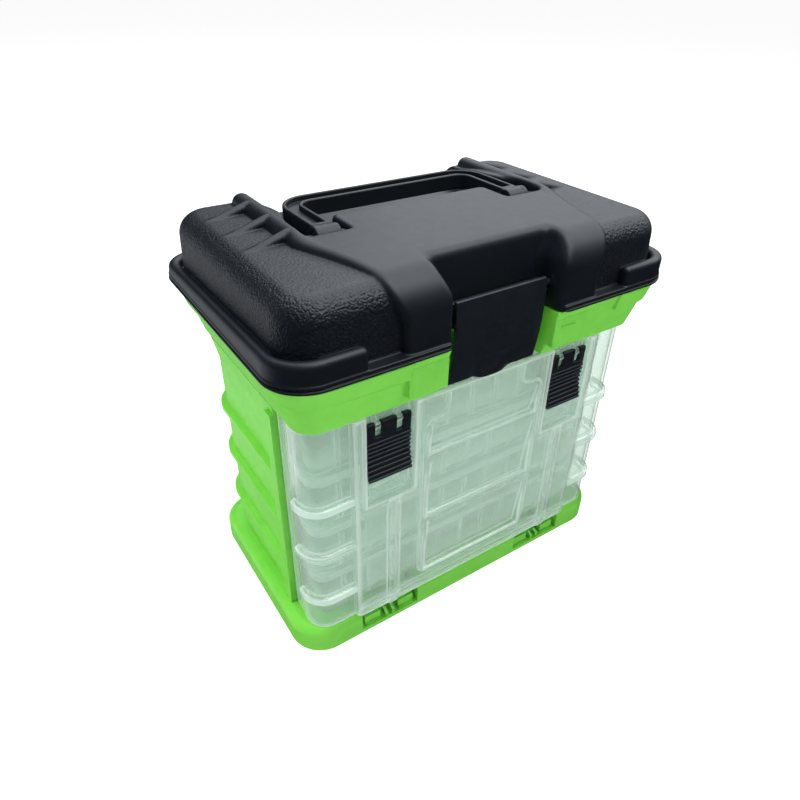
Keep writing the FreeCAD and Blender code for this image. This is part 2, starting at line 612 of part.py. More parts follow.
def main():
    os.makedirs("parts", exist_ok=True)
    save("base_plinth", make_plinth())
    save("body_shell", make_body_shell())
    save("plinth_screws", make_screws())
    save("bulk_bin", make_bin())
    save("lid", make_lid())
    save("carry_handle", make_grip())
    save("lid_latch", make_big_latch())
    save("lid_latch_pin", make_big_latch_pin())
    save("front_door", make_door())
    for name, sign in (("left", -1), ("right", 1)):
        save("lid_hinge_pin_" + name, make_hinge_pin(sign))
        save("handle_pin_" + name, make_grip_pin(sign))
        save("door_latch_" + name, make_door_latch(sign))
        save("door_latch_pin_" + name, make_door_latch_pin(sign))
    for tier in range(TIERS):
        number = str(TIERS - tier)
        save(f"organizer_{number}_tray", make_tray(tier))
        save(f"organizer_{number}_dividers", make_dividers(tier))
        save(f"organizer_{number}_lid", make_tray_lid(tier))
        save(f"organizer_{number}_clips", make_clips(tier))


main()
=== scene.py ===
"""Looks of a fishing tackle box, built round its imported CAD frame.

Sizes inside the classes are millimetres in the frame's own axes: X is the width, -Y is the front and +Z is
up. Meshes are turned into metres as they are made. Moulded pieces with flowing fillets are described by a
distance formula, which `skin` turns into a closed mesh. Thin sheets are grids, and what repeats is made by
Geometry Nodes.
"""

from __future__ import annotations

import logging
import math
from dataclasses import dataclass, field
from enum import Enum
from typing import Callable, Sequence

import bmesh
import bpy
import numpy as np
from mathutils import Matrix, Vector


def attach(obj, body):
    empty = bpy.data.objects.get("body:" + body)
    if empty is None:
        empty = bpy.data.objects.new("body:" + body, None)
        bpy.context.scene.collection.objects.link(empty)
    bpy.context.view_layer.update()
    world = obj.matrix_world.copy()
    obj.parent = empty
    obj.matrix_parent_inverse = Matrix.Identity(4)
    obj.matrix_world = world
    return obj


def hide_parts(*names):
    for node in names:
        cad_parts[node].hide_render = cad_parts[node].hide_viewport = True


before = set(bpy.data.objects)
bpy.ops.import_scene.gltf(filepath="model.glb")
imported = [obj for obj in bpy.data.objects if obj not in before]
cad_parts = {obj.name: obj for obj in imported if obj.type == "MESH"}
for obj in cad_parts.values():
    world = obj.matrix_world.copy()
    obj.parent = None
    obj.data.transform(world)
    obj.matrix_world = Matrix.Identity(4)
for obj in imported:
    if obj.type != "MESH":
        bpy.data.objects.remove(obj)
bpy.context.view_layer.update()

LOG = logging.getLogger("tackle_box")
MM = 0.001
Array = np.ndarray
Shape = Callable[[Array, Array, Array], Array]
Pair = tuple[float, float]

LID_HINGE: Pair = (85.0, 209.0)
LID_LATCH_PIN: Pair = (-75.0, 224.0)
DOOR_LATCH_PIN: Pair = (-72.5, 166.0)
HINGE_ARMS = (62.0, 88.0)
BEYOND = 500.0


# ---------------------------------------------------------------- distances
def join(a: Array, b: Array, blend: float = 1.0) -> Array:
    """Union of two distances, with a fillet of about `blend` where they meet."""
    overlap = np.maximum(blend - np.abs(a - b), 0.0) / blend
    return np.minimum(a, b) - overlap * overlap * blend / 4


def meet(a: Array, b: Array, blend: float = 1.0) -> Array:
    """Intersection of two distances, with a rounded edge of about `blend`."""
    return -join(-a, -b, blend)


def carve(a: Array, b: Array, blend: float = 1.0) -> Array:
    """The first distance with the second cut out of it."""
    return meet(a, -b, blend)


def round_meet(a: Array, b: Array, radius: float) -> Array:
    """Intersection of two distances whose common edge has a true radius."""
    qa, qb = a + radius, b + radius
    return np.hypot(np.maximum(qa, 0), np.maximum(qb, 0)) + np.minimum(np.maximum(qa, qb), 0) - radius


def plan(x: Array, y: Array, half: float, front: float, back: float, radius: float) -> Array:
    """Distance to a rectangle with rounded corners, seen from above."""
    return round_meet(np.abs(x) - half, np.abs(y - (front + back) / 2) - (back - front) / 2, radius)


def band(value: Array, low: float, high: float) -> Array:
    """Distance to the stretch between two planes."""
    return np.maximum(low - value, value - high)


def rod(y: Array, z: Array, centre: tuple[float, float], radius: float) -> Array:
    """Distance to an endless round bar along X."""
    return np.hypot(y - centre[0], z - centre[1]) - radius


def capsule(x: Array, y: Array, z: Array, start: Sequence[float], end: Sequence[float],
            radius: float) -> Array:
    """Distance to a bar with round ends between two points."""
    run = [b - a for a, b in zip(start, end)]
    away = [value - a for value, a in zip((x, y, z), start)]
    share = np.clip(sum(p * q for p, q in zip(away, run)) / sum(q * q for q in run), 0, 1)
    return np.sqrt(sum((p - share * q) ** 2 for p, q in zip(away, run))) - radius


def smooth(share: Array) -> Array:
    """A soft step from 0 to 1."""
    share = np.clip(share, 0, 1)
    return share * share * (3 - 2 * share)


def window(value: Array, low: float, high: float, soft: float) -> Array:
    """1 between two values and 0 outside them, with soft flanks centred on both."""
    return smooth((value - low) / soft + 0.5) * smooth((high - value) / soft + 0.5)


# ---------------------------------------------------------------- meshes
def axis(low: float, high: float, step: float) -> Array:
    """Evenly spaced grid lines from low to at least high."""
    return low + step * np.arange(math.ceil((high - low) / step) + 1)


def linked(name: str, data: bpy.types.ID) -> bpy.types.Object:
    """A new object in the scene, at the origin."""
    made = bpy.data.objects.new(name, data)
    bpy.context.scene.collection.objects.link(made)
    return made


def make_object(name: str, points: Array, faces: Array | list,
                smooth_shaded: bool = True) -> bpy.types.Object:
    """A mesh object at the origin from points in millimetres.

    Args:
        name: The piece's name.
        points: One row of x, y, z for each vertex.
        faces: Vertex numbers of each face.
        smooth_shaded: Whether the faces are shaded smooth.

    Returns:
        The new object.
    """
    mesh = bpy.data.meshes.new(name)
    rows = faces.tolist() if isinstance(faces, np.ndarray) else faces
    mesh.from_pydata((np.asarray(points, float) * MM).tolist(), [], rows)
    mesh.validate()
    if smooth_shaded:
        mesh.shade_smooth()
    return linked(name, mesh)


def corner_pairs() -> list[tuple[tuple[int, int, int], tuple[int, int, int]]]:
    """The twelve edges of a grid cell as pairs of corners."""
    corners = [(i, j, k) for i in (0, 1) for j in (0, 1) for k in (0, 1)]
    return [(a, b) for a in corners for b in corners if a < b and sum(abs(p - q) for p, q in zip(a, b)) == 1]


def net(values: Array, axes: Sequence[Array]) -> tuple[Array, Array, Array]:
    """Vertices and quads of the surface where sampled distances are zero.

    Args:
        values: Distances on the grid.
        axes: The grid's lines in x, y and z.

    Returns:
        The points, the quads, and the x number of each point's cell.
    """
    inside = values < 0
    size = values.shape
    total = np.zeros([n - 1 for n in size], np.int8)
    for i, j, k in np.ndindex(2, 2, 2):
        total += inside[i:size[0] - 1 + i, j:size[1] - 1 + j, k:size[2] - 1 + k]
    mixed = (total > 0) & (total < 8)
    cell = np.argwhere(mixed)
    number = np.full(mixed.shape, -1, np.int64)
    number[mixed] = np.arange(len(cell))
    points, hits = np.zeros((len(cell), 3)), np.zeros((len(cell), 1))
    for a, b in corner_pairs():
        ia, ib = cell + a, cell + b
        va, vb = values[tuple(ia.T)], values[tuple(ib.T)]
        crossed = ((va < 0) != (vb < 0))[:, None]
        share = np.divide(va, va - vb, out=np.zeros_like(va), where=va != vb)[:, None]
        pa = np.stack([axes[n][ia[:, n]] for n in range(3)], 1)
        pb = np.stack([axes[n][ib[:, n]] for n in range(3)], 1)
        points += np.where(crossed, pa + share * (pb - pa), 0)
        hits += crossed
    points /= hits
    quads = []
    for along in range(3):
        u, v = (along + 1) % 3, (along + 2) % 3
        low = np.take(inside, np.arange(size[along] - 1), along)
        high = np.take(inside, np.arange(1, size[along]), along)
        at = np.argwhere(low != high)
        at = at[(at[:, u] > 0) & (at[:, v] > 0) & (at[:, u] < size[u] - 1) & (at[:, v] < size[v] - 1)]
        ring = []
        for du, dv in ((1, 1), (0, 1), (0, 0), (1, 0)):
            near = at.copy()
            near[:, u] -= du
            near[:, v] -= dv
            ring.append(number[tuple(near.T)])
        quad = np.stack(ring, 1)
        leaving = low[tuple(at.T)]
        quads.append(np.where(leaving[:, None], quad, quad[:, ::-1]))
    return points, np.concatenate(quads), cell[:, 0]


def gradient(shape: Shape, points: Array, reach: float) -> Array:
    """Slope of a distance at some points, by differences over `reach`."""
    slopes = []
    for n in range(3):
        ends = []
        for sign in (-1, 1):
            moved = points.copy()
            moved[:, n] += sign * reach
            ends.append(shape(*moved.T))
        slopes.append((ends[1] - ends[0]) / (2 * reach))
    return np.stack(slopes, 1)


def settle(shape: Shape, points: Array, limit: float) -> Array:
    """Moves points onto the zero surface, each by no more than `limit` a step."""
    for _ in range(3):
        slope = gradient(shape, points, 0.05)
        steep = np.maximum((slope ** 2).sum(1), 0.25)
        step = (shape(*points.T) / steep)[:, None] * slope
        points = points - np.clip(step, -limit, limit)
    return points


def skin(name: str, shape: Shape, axes: Sequence[Array], mirrored: bool = False,
         keep: float = 1.0, soften: float = 0.3) -> bpy.types.Object:
    """A closed mesh of the surface of a distance formula, with exact normals.

    Args:
        name: The piece's name.
        shape: The distance at x, y, z.
        axes: Grid lines. With `mirrored`, x starts half a step below zero.
        mirrored: Whether the left half is the right half's mirror image.
        keep: The share of triangles that the thinning keeps.
        soften: Half the distance over which normals are measured.

    Returns:
        The new object.
    """
    grid = np.meshgrid(*[a.astype(np.float32) for a in axes], indexing="ij", sparse=True)
    values = np.ascontiguousarray(np.broadcast_to(shape(*grid), [len(a) for a in axes])).astype(np.float32)
    points, quads, column = net(values, axes)
    step = float(axes[0][1] - axes[0][0])
    points = settle(shape, points, step / 3)
    if mirrored:
        middle = column == 0
        points[middle, 0] = 0.0
        other = np.arange(len(points))
        others = np.flatnonzero(~middle)
        other[others] = len(points) + np.arange(len(others))
        points = np.concatenate([points, points[others] * (-1, 1, 1)])
        quads = np.concatenate([quads, other[quads][:, ::-1]])
    made = make_object(name, points, quads)
    if keep < 1:
        thin = made.modifiers.new("thin", "DECIMATE")
        thin.ratio = keep
        apply_modifiers(made)
    aim(made, shape, soften)
    return made


def aim(made: bpy.types.Object, shape: Shape, reach: float) -> None:
    """Gives a mesh the normals of the distance formula that it follows."""
    points = coordinates(made)
    slope = gradient(shape, points, reach)
    slope /= np.maximum(np.linalg.norm(slope, axis=1, keepdims=True), 1e-9)
    made.data.shade_smooth()
    made.data.normals_split_custom_set_from_vertices(slope.tolist())


def coordinates(made: bpy.types.Object) -> Array:
    """A mesh's vertices in millimetres."""
    flat = np.empty(len(made.data.vertices) * 3)
    made.data.vertices.foreach_get("co", flat)
    return flat.reshape(-1, 3) / MM


def mark_folds(made: bpy.types.Object) -> None:
    """Writes a `fold` value at each vertex: 0 where the surface is flat, 1 where it turns sharply. The clear
    finishes paint a highlight along it.

    Args:
        made: The piece, whose mesh keeps its shape.
    """
    mesh = made.data
    facing = np.empty(len(mesh.polygons) * 3)
    mesh.polygons.foreach_get("normal", facing)
    corners = np.empty(len(mesh.polygons), dtype=int)
    mesh.polygons.foreach_get("loop_total", corners)
    at = np.empty(len(mesh.loops), dtype=int)
    mesh.loops.foreach_get("vertex_index", at)
    each = np.repeat(facing.reshape(-1, 3), corners, axis=0)
    total = np.stack([np.bincount(at, each[:, k], len(mesh.vertices)) for k in range(3)], axis=1)
    spread = 1 - np.linalg.norm(total, axis=1) / np.maximum(np.bincount(at, minlength=len(mesh.vertices)), 1)
    fold = mesh.attributes.new("fold", "FLOAT", "POINT")
    fold.data.foreach_set("value", smooth((spread - 0.01) / 0.07).astype(np.float32))


def apply_modifiers(made: bpy.types.Object) -> bpy.types.Object:
    """Replaces a piece's mesh with what its modifiers make of it."""
    graph = bpy.context.evaluated_depsgraph_get()
    baked = bpy.data.meshes.new_from_object(made.evaluated_get(graph))
    made.modifiers.clear()
    made.data = baked
    return made


def crease(made: bpy.types.Object, degrees: float = 35.0) -> bpy.types.Object:
    """Shades a mesh smooth but for its sharp edges."""
    form = bmesh.new()
    form.from_mesh(made.data)
    for face in form.faces:
        face.smooth = True
    limit = math.radians(degrees)
    for edge in form.edges:
        edge.smooth = len(edge.link_faces) != 2 or edge.calc_face_angle(0.0) < limit
    form.to_mesh(made.data)
    form.free()
    return made


def bevelled(made: bpy.types.Object, width: float) -> bpy.types.Object:
    """Rounds a mesh's sharp edges."""
    bevel = made.modifiers.new("edges", "BEVEL")
    bevel.width, bevel.segments, bevel.limit_method = width * MM, 2, "ANGLE"
    bevel.angle_limit = math.radians(30)
    return crease(apply_modifiers(made), 40)


def prism(name: str, profile: Sequence[tuple[float, float]], x0: float, x1: float,
          edge: float = 0.25) -> bpy.types.Object:
    """A bar along X whose cross-section is a list of y, z points."""
    count = len(profile)
    points = [(x, y, z) for x in (x0, x1) for y, z in profile]
    faces = [[i, (i + 1) % count, count + (i + 1) % count, count + i] for i in range(count)]
    faces += [list(range(count))[::-1], list(range(count, 2 * count))]
    made = outward(make_object(name, points, faces, False))
    return bevelled(made, edge) if edge else made


def block(name: str, low: Sequence[float], high: Sequence[float], edge: float = 0.3) -> bpy.types.Object:
    """A box between two corners with rounded edges."""
    profile = [(low[1], low[2]), (high[1], low[2]), (high[1], high[2]), (low[1], high[2])]
    return prism(name, profile, low[0], high[0], edge)


def outward(made: bpy.types.Object) -> bpy.types.Object:
    """Turns a closed mesh's faces outwards."""
    form = bmesh.new()
    form.from_mesh(made.data)
    bmesh.ops.recalc_face_normals(form, faces=form.faces)
    form.to_mesh(made.data)
    form.free()
    return made


def mirror(made: bpy.types.Object, name: str) -> bpy.types.Object:
    """A mirror image of a piece on the other side of the box."""
    mesh = made.data.copy()
    mesh.transform(Matrix.Scale(-1, 4, Vector((1, 0, 0))))
    mesh.flip_normals()
    return linked(name, mesh)


def merge(name: str, parts: Sequence[bpy.types.Object]) -> bpy.types.Object:
    """Joins meshes into one piece, and removes the parts."""
    form = bmesh.new()
    for part in parts:
        form.from_mesh(part.data)
    mesh = bpy.data.meshes.new(name)
    form.to_mesh(mesh)
    form.free()
    for part in parts:
        bpy.data.objects.remove(part)
    return linked(name, mesh)


def grid_lines(edges: Sequence[float], low: float, high: float, spacing: float, soft: float) -> Array:
    """Grid lines that crowd round the edges of features.

    Args:
        edges: Where the features' flanks are.
        low: The first line.
        high: The last line.
        spacing: The widest gap between lines.
        soft: The width of a flank.

    Returns:
        The lines in rising order.
    """
    stops = {low, high}
    for edge in edges:
        flank = (edge - soft / 2, edge - soft / 6, edge + soft / 6, edge + soft / 2)
        stops |= {line for line in flank if low < line < high}
    ordered = sorted(stops)
    lines = [np.linspace(a, b, max(1, math.ceil((b - a) / spacing)), endpoint=False)
             for a, b in zip(ordered, ordered[1:])]
    return np.append(np.concatenate(lines), high)


def sheet_faces(rows: int, columns: int) -> Array:
    """Quads of a grid of points that is stored row by row."""
    i, j = np.meshgrid(np.arange(rows - 1), np.arange(columns - 1), indexing="ij")
    a = (i * columns + j).ravel()
    return np.stack([a, a + columns, a + columns + 1, a + 1], 1)


def rounded_outline(half: float, front: float, back: float, radius: float) -> Array:
    """Points round a rectangle with rounded corners, anticlockwise from above."""
    turns = np.linspace(0, math.pi / 2, 9)
    corners = [((half - radius, back - radius), 0), ((radius - half, back - radius), 1),
               ((radius - half, front + radius), 2), ((half - radius, front + radius), 3)]
    return np.concatenate([np.stack([cx + radius * np.cos(turns + q * math.pi / 2),
                                     cy + radius * np.sin(turns + q * math.pi / 2)], 1)
                           for (cx, cy), q in corners])


def loft(name: str, rings: Sequence[tuple[float, float]], half: float, front: float, back: float,
         radius: float) -> bpy.types.Object:
    """A closed form from rounded rectangles, each inset by its own amount at its own height."""
    points, count = [], 0
    for inset, z in rings:
        outline = rounded_outline(half - inset, front + inset, back - inset, max(radius - inset, 0.5))
        count = len(outline)
        points += [(x, y, z) for x, y in outline]
    faces = [[low + i, low + (i + 1) % count, low + count + (i + 1) % count, low + count + i]
             for low in range(0, (len(rings) - 1) * count, count) for i in range(count)]
    faces += [list(range(count))[::-1], list(range((len(rings) - 1) * count, len(rings) * count))]
    return crease(outward(make_object(name, points, faces)), 40)


# ---------------------------------------------------------------- geometry nodes
class Nodes:
    """A node tree, built node by node."""

    def __init__(self, tree: bpy.types.NodeTree) -> None:
        """Takes the tree that the nodes go into."""
        self.tree = tree

    def node(self, kind: str, inputs: dict | None = None, **settings: object) -> bpy.types.Node:
        """Adds a node, sets its properties, and fills or links its inputs."""
        made = self.tree.nodes.new(kind)
        for key, value in settings.items():
            setattr(made, key, value)
        for key, value in (inputs or {}).items():
            if isinstance(value, bpy.types.NodeSocket):
                self.tree.links.new(value, made.inputs[key])
            else:
                made.inputs[key].default_value = value
        return made


class Tree(Nodes):
    """A Geometry Nodes tree with named inputs, baked to a plain mesh."""

    def __init__(self, name: str, **inputs: str) -> None:
        """Starts a tree with one geometry input and output.

        Args:
            name: The tree's name.
            inputs: The kind of each further input: Float, Int, Vector or Material.
        """
        super().__init__(bpy.data.node_groups.new(name, "GeometryNodeTree"))
        sockets = self.tree.interface
        sockets.new_socket("Geometry", in_out="INPUT", socket_type="NodeSocketGeometry")
        sockets.new_socket("Geometry", in_out="OUTPUT", socket_type="NodeSocketGeometry")
        self.inlet = self.tree.nodes.new("NodeGroupInput")
        self.outlet = self.tree.nodes.new("NodeGroupOutput")
        for key, kind in inputs.items():
            sockets.new_socket(key, in_out="INPUT", socket_type="NodeSocket" + kind)

    def given(self, name: str) -> bpy.types.NodeSocket:
        """The socket that carries a named input."""
        return self.inlet.outputs[name]

    def finish(self, geometry: bpy.types.NodeSocket) -> None:
        """Ends the tree in Realize Instances and Set Material."""
        real = self.node("GeometryNodeRealizeInstances", {"Geometry": geometry})
        dressed = self.node("GeometryNodeSetMaterial",
                            {"Geometry": real.outputs[0], "Material": self.given("Material")})
        self.tree.links.new(dressed.outputs[0], self.outlet.inputs[0])

    def bake(self, name: str, values: dict, source: bpy.types.Object | None = None) -> bpy.types.Object:
        """Runs the tree on an object and returns the result as a plain mesh.

        Args:
            name: The new piece's name.
            values: A value for each named input.
            source: A curve or mesh that the tree reads, which is removed.

        Returns:
            The new object.
        """
        base = source or linked(name + "_seed", bpy.data.meshes.new(name + "_seed"))
        modifier = base.modifiers.new("nodes", "NODES")
        modifier.node_group = self.tree
        sockets = {s.name: s.identifier for s in self.tree.interface.items_tree
                   if s.item_type == "SOCKET" and s.in_out == "INPUT"}
        for key, value in values.items():
            modifier[sockets[key]] = value
        graph = bpy.context.evaluated_depsgraph_get()
        mesh = bpy.data.meshes.new_from_object(base.evaluated_get(graph))
        mesh.name = name
        bpy.data.objects.remove(base)
        return linked(name, mesh)


def row_tree() -> Tree:
    """A tree that sets equal rounded bars or plates in a row.

    Returns:
        The tree, with inputs Count, Start, Step, Size and Material.
    """
    tree = Tree("row_of_bars", Count="Int", Start="Vector", Step="Vector", Size="Vector",
                Material="Material")
    line = tree.node("GeometryNodeMeshLine",
                     {"Count": tree.given("Count"), "Start Location": tree.given("Start"),
                      "Offset": tree.given("Step")}, mode="OFFSET")
    plate = tree.node("GeometryNodeMeshCube", {"Size": tree.given("Size")})
    placed = tree.node("GeometryNodeInstanceOnPoints",
                       {"Points": line.outputs[0], "Instance": plate.outputs[0]})
    tree.finish(placed.outputs[0])
    return tree


def ridge_tree() -> Tree:
    """A tree that sets half-round grip ridges along a line of points.

    Returns:
        The tree, with inputs Radius, Length and Material.
    """
    tree = Tree("grip_ridges", Radius="Float", Length="Float", Material="Material")
    bar = tree.node("GeometryNodeMeshCylinder",
                    {"Vertices": 14, "Radius": tree.given("Radius"), "Depth": tree.given("Length")})
    turned = tree.node("GeometryNodeTransform",
                       {"Geometry": bar.outputs[0], "Rotation": (0.0, math.pi / 2, 0.0)})
    placed = tree.node("GeometryNodeInstanceOnPoints",
                       {"Points": tree.given("Geometry"), "Instance": turned.outputs[0]})
    tree.finish(placed.outputs[0])
    return tree


def moulding_tree() -> Tree:
    """A tree that sweeps a small round bar along a curve with rounded corners.

    Returns:
        The tree, with inputs Corner, Radius and Material.
    """
    tree = Tree("raised_line", Corner="Float", Radius="Float", Material="Material")
    eased = tree.node("GeometryNodeFilletCurve",
                      {"Curve": tree.given("Geometry"), "Radius": tree.given("Corner")})
    for socket in eased.inputs:
        if socket.name == "Limit Radius":
            socket.default_value = True
        if socket.name == "Count":
            socket.default_value = 6
        if socket.name == "Mode":
            socket.default_value = "Poly"
    if hasattr(eased, "mode"):
        eased.mode = "POLY"
    profile = tree.node("GeometryNodeCurvePrimitiveCircle",
                        {"Resolution": 10, "Radius": tree.given("Radius")})
    swept = tree.node("GeometryNodeCurveToMesh",
                      {"Curve": eased.outputs[0], "Profile Curve": profile.outputs[0], "Fill Caps": True})
    tree.finish(swept.outputs[0])
    return tree


def path_curve(name: str, points: Sequence[Sequence[float]]) -> bpy.types.Object:
    """A curve object of straight runs through points in millimetres."""
    data = bpy.data.curves.new(name, "CURVE")
    data.dimensions = "3D"
    run = data.splines.new("POLY")
    run.points.add(len(points) - 1)
    for point, place in zip(run.points, points):
        point.co = (*[v * MM for v in place], 1)
    return linked(name, data)


# ---------------------------------------------------------------- finishes
class Shader(Nodes):
    """A material's node tree, built node by node."""

    def __init__(self, name: str) -> None:
        """Starts a material whose tree holds only its output."""
        self.material = bpy.data.materials.new(name)
        self.material.use_nodes = True
        super().__init__(self.material.node_tree)
        self.tree.nodes.clear()
        self.output = self.tree.nodes.new("ShaderNodeOutputMaterial")
        self.place = self.tree.nodes.new("ShaderNodeTexCoord").outputs["Object"]

    def noise(self, size: float, detail: float = 3.0, roughness: float = 0.5) -> bpy.types.NodeSocket:
        """Noise whose features are about `size` millimetres across."""
        made = self.node("ShaderNodeTexNoise", {"Vector": self.place, "Scale": 1 / (size * MM),
                                                "Detail": detail, "Roughness": roughness})
        return made.outputs["Fac"]

    def remap(self, value: bpy.types.NodeSocket, low: float, high: float, start: float = 0.0,
              stop: float = 1.0) -> bpy.types.NodeSocket:
        """Spreads a value from start..stop over low..high."""
        made = self.node("ShaderNodeMapRange", {"Value": value, "From Min": start, "From Max": stop,
                                                "To Min": low, "To Max": high})
        return made.outputs["Result"]

    def math(self, kind: str, a: object, b: object) -> bpy.types.NodeSocket:
        """One step of arithmetic on two sockets or numbers."""
        made = self.tree.nodes.new("ShaderNodeMath")
        made.operation = kind
        for slot, value in zip(made.inputs, (a, b)):
            if isinstance(value, bpy.types.NodeSocket):
                self.tree.links.new(value, slot)
            else:
                slot.default_value = value
        return made.outputs[0]

    def blend(self, share: bpy.types.NodeSocket, a: Sequence[float],
              b: Sequence[float]) -> bpy.types.NodeSocket:
        """A colour between two, by a share."""
        made = self.tree.nodes.new("ShaderNodeMix")
        made.data_type = "RGBA"
        self.tree.links.new(share, made.inputs["Factor"])
        made.inputs[6].default_value = (*a, 1.0)
        made.inputs[7].default_value = (*b, 1.0)
        return made.outputs[2]

    def finish(self, shader: bpy.types.NodeSocket) -> bpy.types.Material:
        """Joins the last shader to the output."""
        self.tree.links.new(shader, self.output.inputs["Surface"])
        return self.material


@dataclass(frozen=True)
class MouldedPlastic:
    """An opaque moulded plastic: a spark-eroded texture, slight mottling and uneven gloss."""

    name: str
    colour: tuple[float, float, float]
    shade: tuple[float, float, float]
    roughness: float
    gloss: float
    texture_size: float = 0.5
    texture_depth: float = 0.02
    glow: float = 0.0

    def build(self) -> bpy.types.Material:
        """The Blender material."""
        shader = Shader(self.name)
        mottle = shader.remap(shader.noise(14.0, 4.0, 0.6), 0.0, 1.0, 0.35, 0.65)
        tone = shader.blend(mottle, self.shade, self.colour)
        rough = shader.remap(shader.noise(5.0, 3.0), self.roughness - 0.05, self.roughness + 0.05, 0.3, 0.7)
        bump = shader.node("ShaderNodeBump", {"Height": shader.noise(self.texture_size, 2.0), "Strength": 0.5,
                                              "Distance": self.texture_depth * MM})
        plastic = shader.node("ShaderNodeBsdfPrincipled",
                              {"Base Color": tone, "Roughness": rough, "Specular IOR Level": self.gloss,
                               "Normal": bump.outputs[0]})
        if self.glow:
            plastic.inputs["Subsurface Weight"].default_value = self.glow
            plastic.inputs["Subsurface Radius"].default_value = (0.8, 1.0, 0.4)
            plastic.inputs["Subsurface Scale"].default_value = 1.5 * MM
        return shader.finish(plastic.outputs[0])


@dataclass(frozen=True)
class GrainedPlastic:
    """Charcoal plastic with leather grain where the mesh's `grain` attribute says, and satin elsewhere."""

    name: str
    colour: tuple[float, float, float]
    shade: tuple[float, float, float]
    roughness: float
    gloss: float
    cell: float = 1.3
    depth: float = 0.5

    def build(self) -> bpy.types.Material:
        """The Blender material."""
        shader = Shader(self.name)
        mask = shader.node("ShaderNodeAttribute", attribute_name="grain").outputs["Fac"]
        mottle = shader.remap(shader.noise(22.0, 5.0, 0.6), 0.0, 1.0, 0.35, 0.65)
        tone = shader.blend(mottle, self.shade, self.colour)
        wander = shader.node("ShaderNodeTexNoise", {"Vector": shader.place, "Scale": 420.0, "Detail": 2.0})
        bent = shader.node("ShaderNodeVectorMath", {0: wander.outputs["Color"], "Scale": 1.6 * MM},
                           operation="SCALE")
        place = shader.node("ShaderNodeVectorMath", {0: shader.place, 1: bent.outputs[0]}, operation="ADD")
        cells = shader.node("ShaderNodeTexVoronoi",
                            {"Vector": place.outputs[0], "Scale": 1 / (self.cell * MM), "Smoothness": 0.5},
                            feature="SMOOTH_F1")
        height = shader.math("MULTIPLY", cells.outputs["Distance"], mask)
        fine = shader.node("ShaderNodeBump", {"Height": shader.noise(0.45, 2.0), "Strength": 0.35,
                                              "Distance": 0.02 * MM})
        bump = shader.node("ShaderNodeBump", {"Height": height, "Strength": 1.0, "Distance": self.depth * MM,
                                              "Normal": fine.outputs[0]}, invert=True)
        patchy = shader.remap(shader.noise(6.0, 3.0), self.roughness - 0.012, self.roughness + 0.018,
                              0.3, 0.7)
        plastic = shader.node("ShaderNodeBsdfPrincipled",
                              {"Base Color": tone, "Roughness": patchy, "Specular IOR Level": self.gloss,
                               "Normal": bump.outputs[0]})
        return shader.finish(plastic.outputs[0])


@dataclass(frozen=True)
class ClearPlastic:
    """Clear moulded plastic: it lets most light through, gives off a painted glow, whitens at its edges, and
    carries a painted highlight along its folds.

    Attributes:
        name: The material's name.
        tint: What the light that goes straight through is multiplied by at each face.
        haze: The milky share of a face seen square on.
        edge: How much more milky a face gets as it turns away, as thick clear plastic does.
        body: The colour of the milky share.
        roughness: The roughness of the milky share's gloss.
        painted_glow: A painted glow: the light that the milky share gives off by itself, in place of light led
            along the moulding.
        fold: How much more milky a sharp fold is, by the mesh's `fold` attribute: a painted highlight for the
            light that gathers at folds.
    """

    name: str
    tint: tuple[float, float, float]
    haze: float
    edge: float
    body: tuple[float, float, float] = (0.84, 0.95, 0.90)
    roughness: float = 0.12
    painted_glow: float = 0.07
    fold: float = 0.36

    def build(self) -> bpy.types.Material:
        """The Blender material."""
        shader = Shader(self.name)
        bump = shader.node("ShaderNodeBump", {"Height": shader.noise(7.0, 2.0), "Strength": 0.25,
                                              "Distance": 0.05 * MM})
        facing = shader.node("ShaderNodeLayerWeight", {"Blend": 0.2, "Normal": bump.outputs[0]})
        patch = shader.noise(18.0, 3.0, 0.6)
        haze = shader.remap(patch, self.haze * 0.93, self.haze * 1.07, 0.35, 0.65)
        rim = shader.math("MULTIPLY", facing.outputs["Facing"], self.edge)
        # painted highlight: sharp folds get a larger milky, glowing share
        fold = shader.node("ShaderNodeAttribute", attribute_name="fold").outputs["Fac"]
        share = shader.math("ADD", shader.math("ADD", haze, rim), shader.math("MULTIPLY", fold, self.fold))
        clear = shader.node("ShaderNodeBsdfTransparent", {"Color": (*self.tint, 1.0)})
        # painted glow: the milky share gives off light of its own, set by painted_glow
        milk = shader.node("ShaderNodeBsdfPrincipled",
                           {"Base Color": (*self.body, 1.0), "Roughness": self.roughness,
                            "Specular IOR Level": 0.5, "Normal": bump.outputs[0],
                            "Emission Color": (*self.body, 1.0), "Emission Strength": self.painted_glow})
        thin = shader.node("ShaderNodeBsdfTranslucent", {"Color": (*self.body, 1.0)})
        glow = shader.node("ShaderNodeMixShader", {"Fac": 0.25, 1: milk.outputs[0], 2: thin.outputs[0]})
        mixed = shader.node("ShaderNodeMixShader", {"Fac": share, 1: clear.outputs[0], 2: glow.outputs[0]})
        gloss = shader.node("ShaderNodeBsdfGlossy", {"Color": (1, 1, 1, 1), "Roughness": 0.08,
                                                     "Normal": bump.outputs[0]})
        turned = shader.node("ShaderNodeLayerWeight", {"Blend": 0.5, "Normal": bump.outputs[0]})
        shine = shader.math("MULTIPLY_ADD", shader.math("POWER", turned.outputs["Facing"], 5.0), 0.9)
        shine.node.inputs[2].default_value = 0.04
        whole = shader.node("ShaderNodeMixShader", {"Fac": shine, 1: mixed.outputs[0], 2: gloss.outputs[0]})
        return shader.finish(whole.outputs[0])


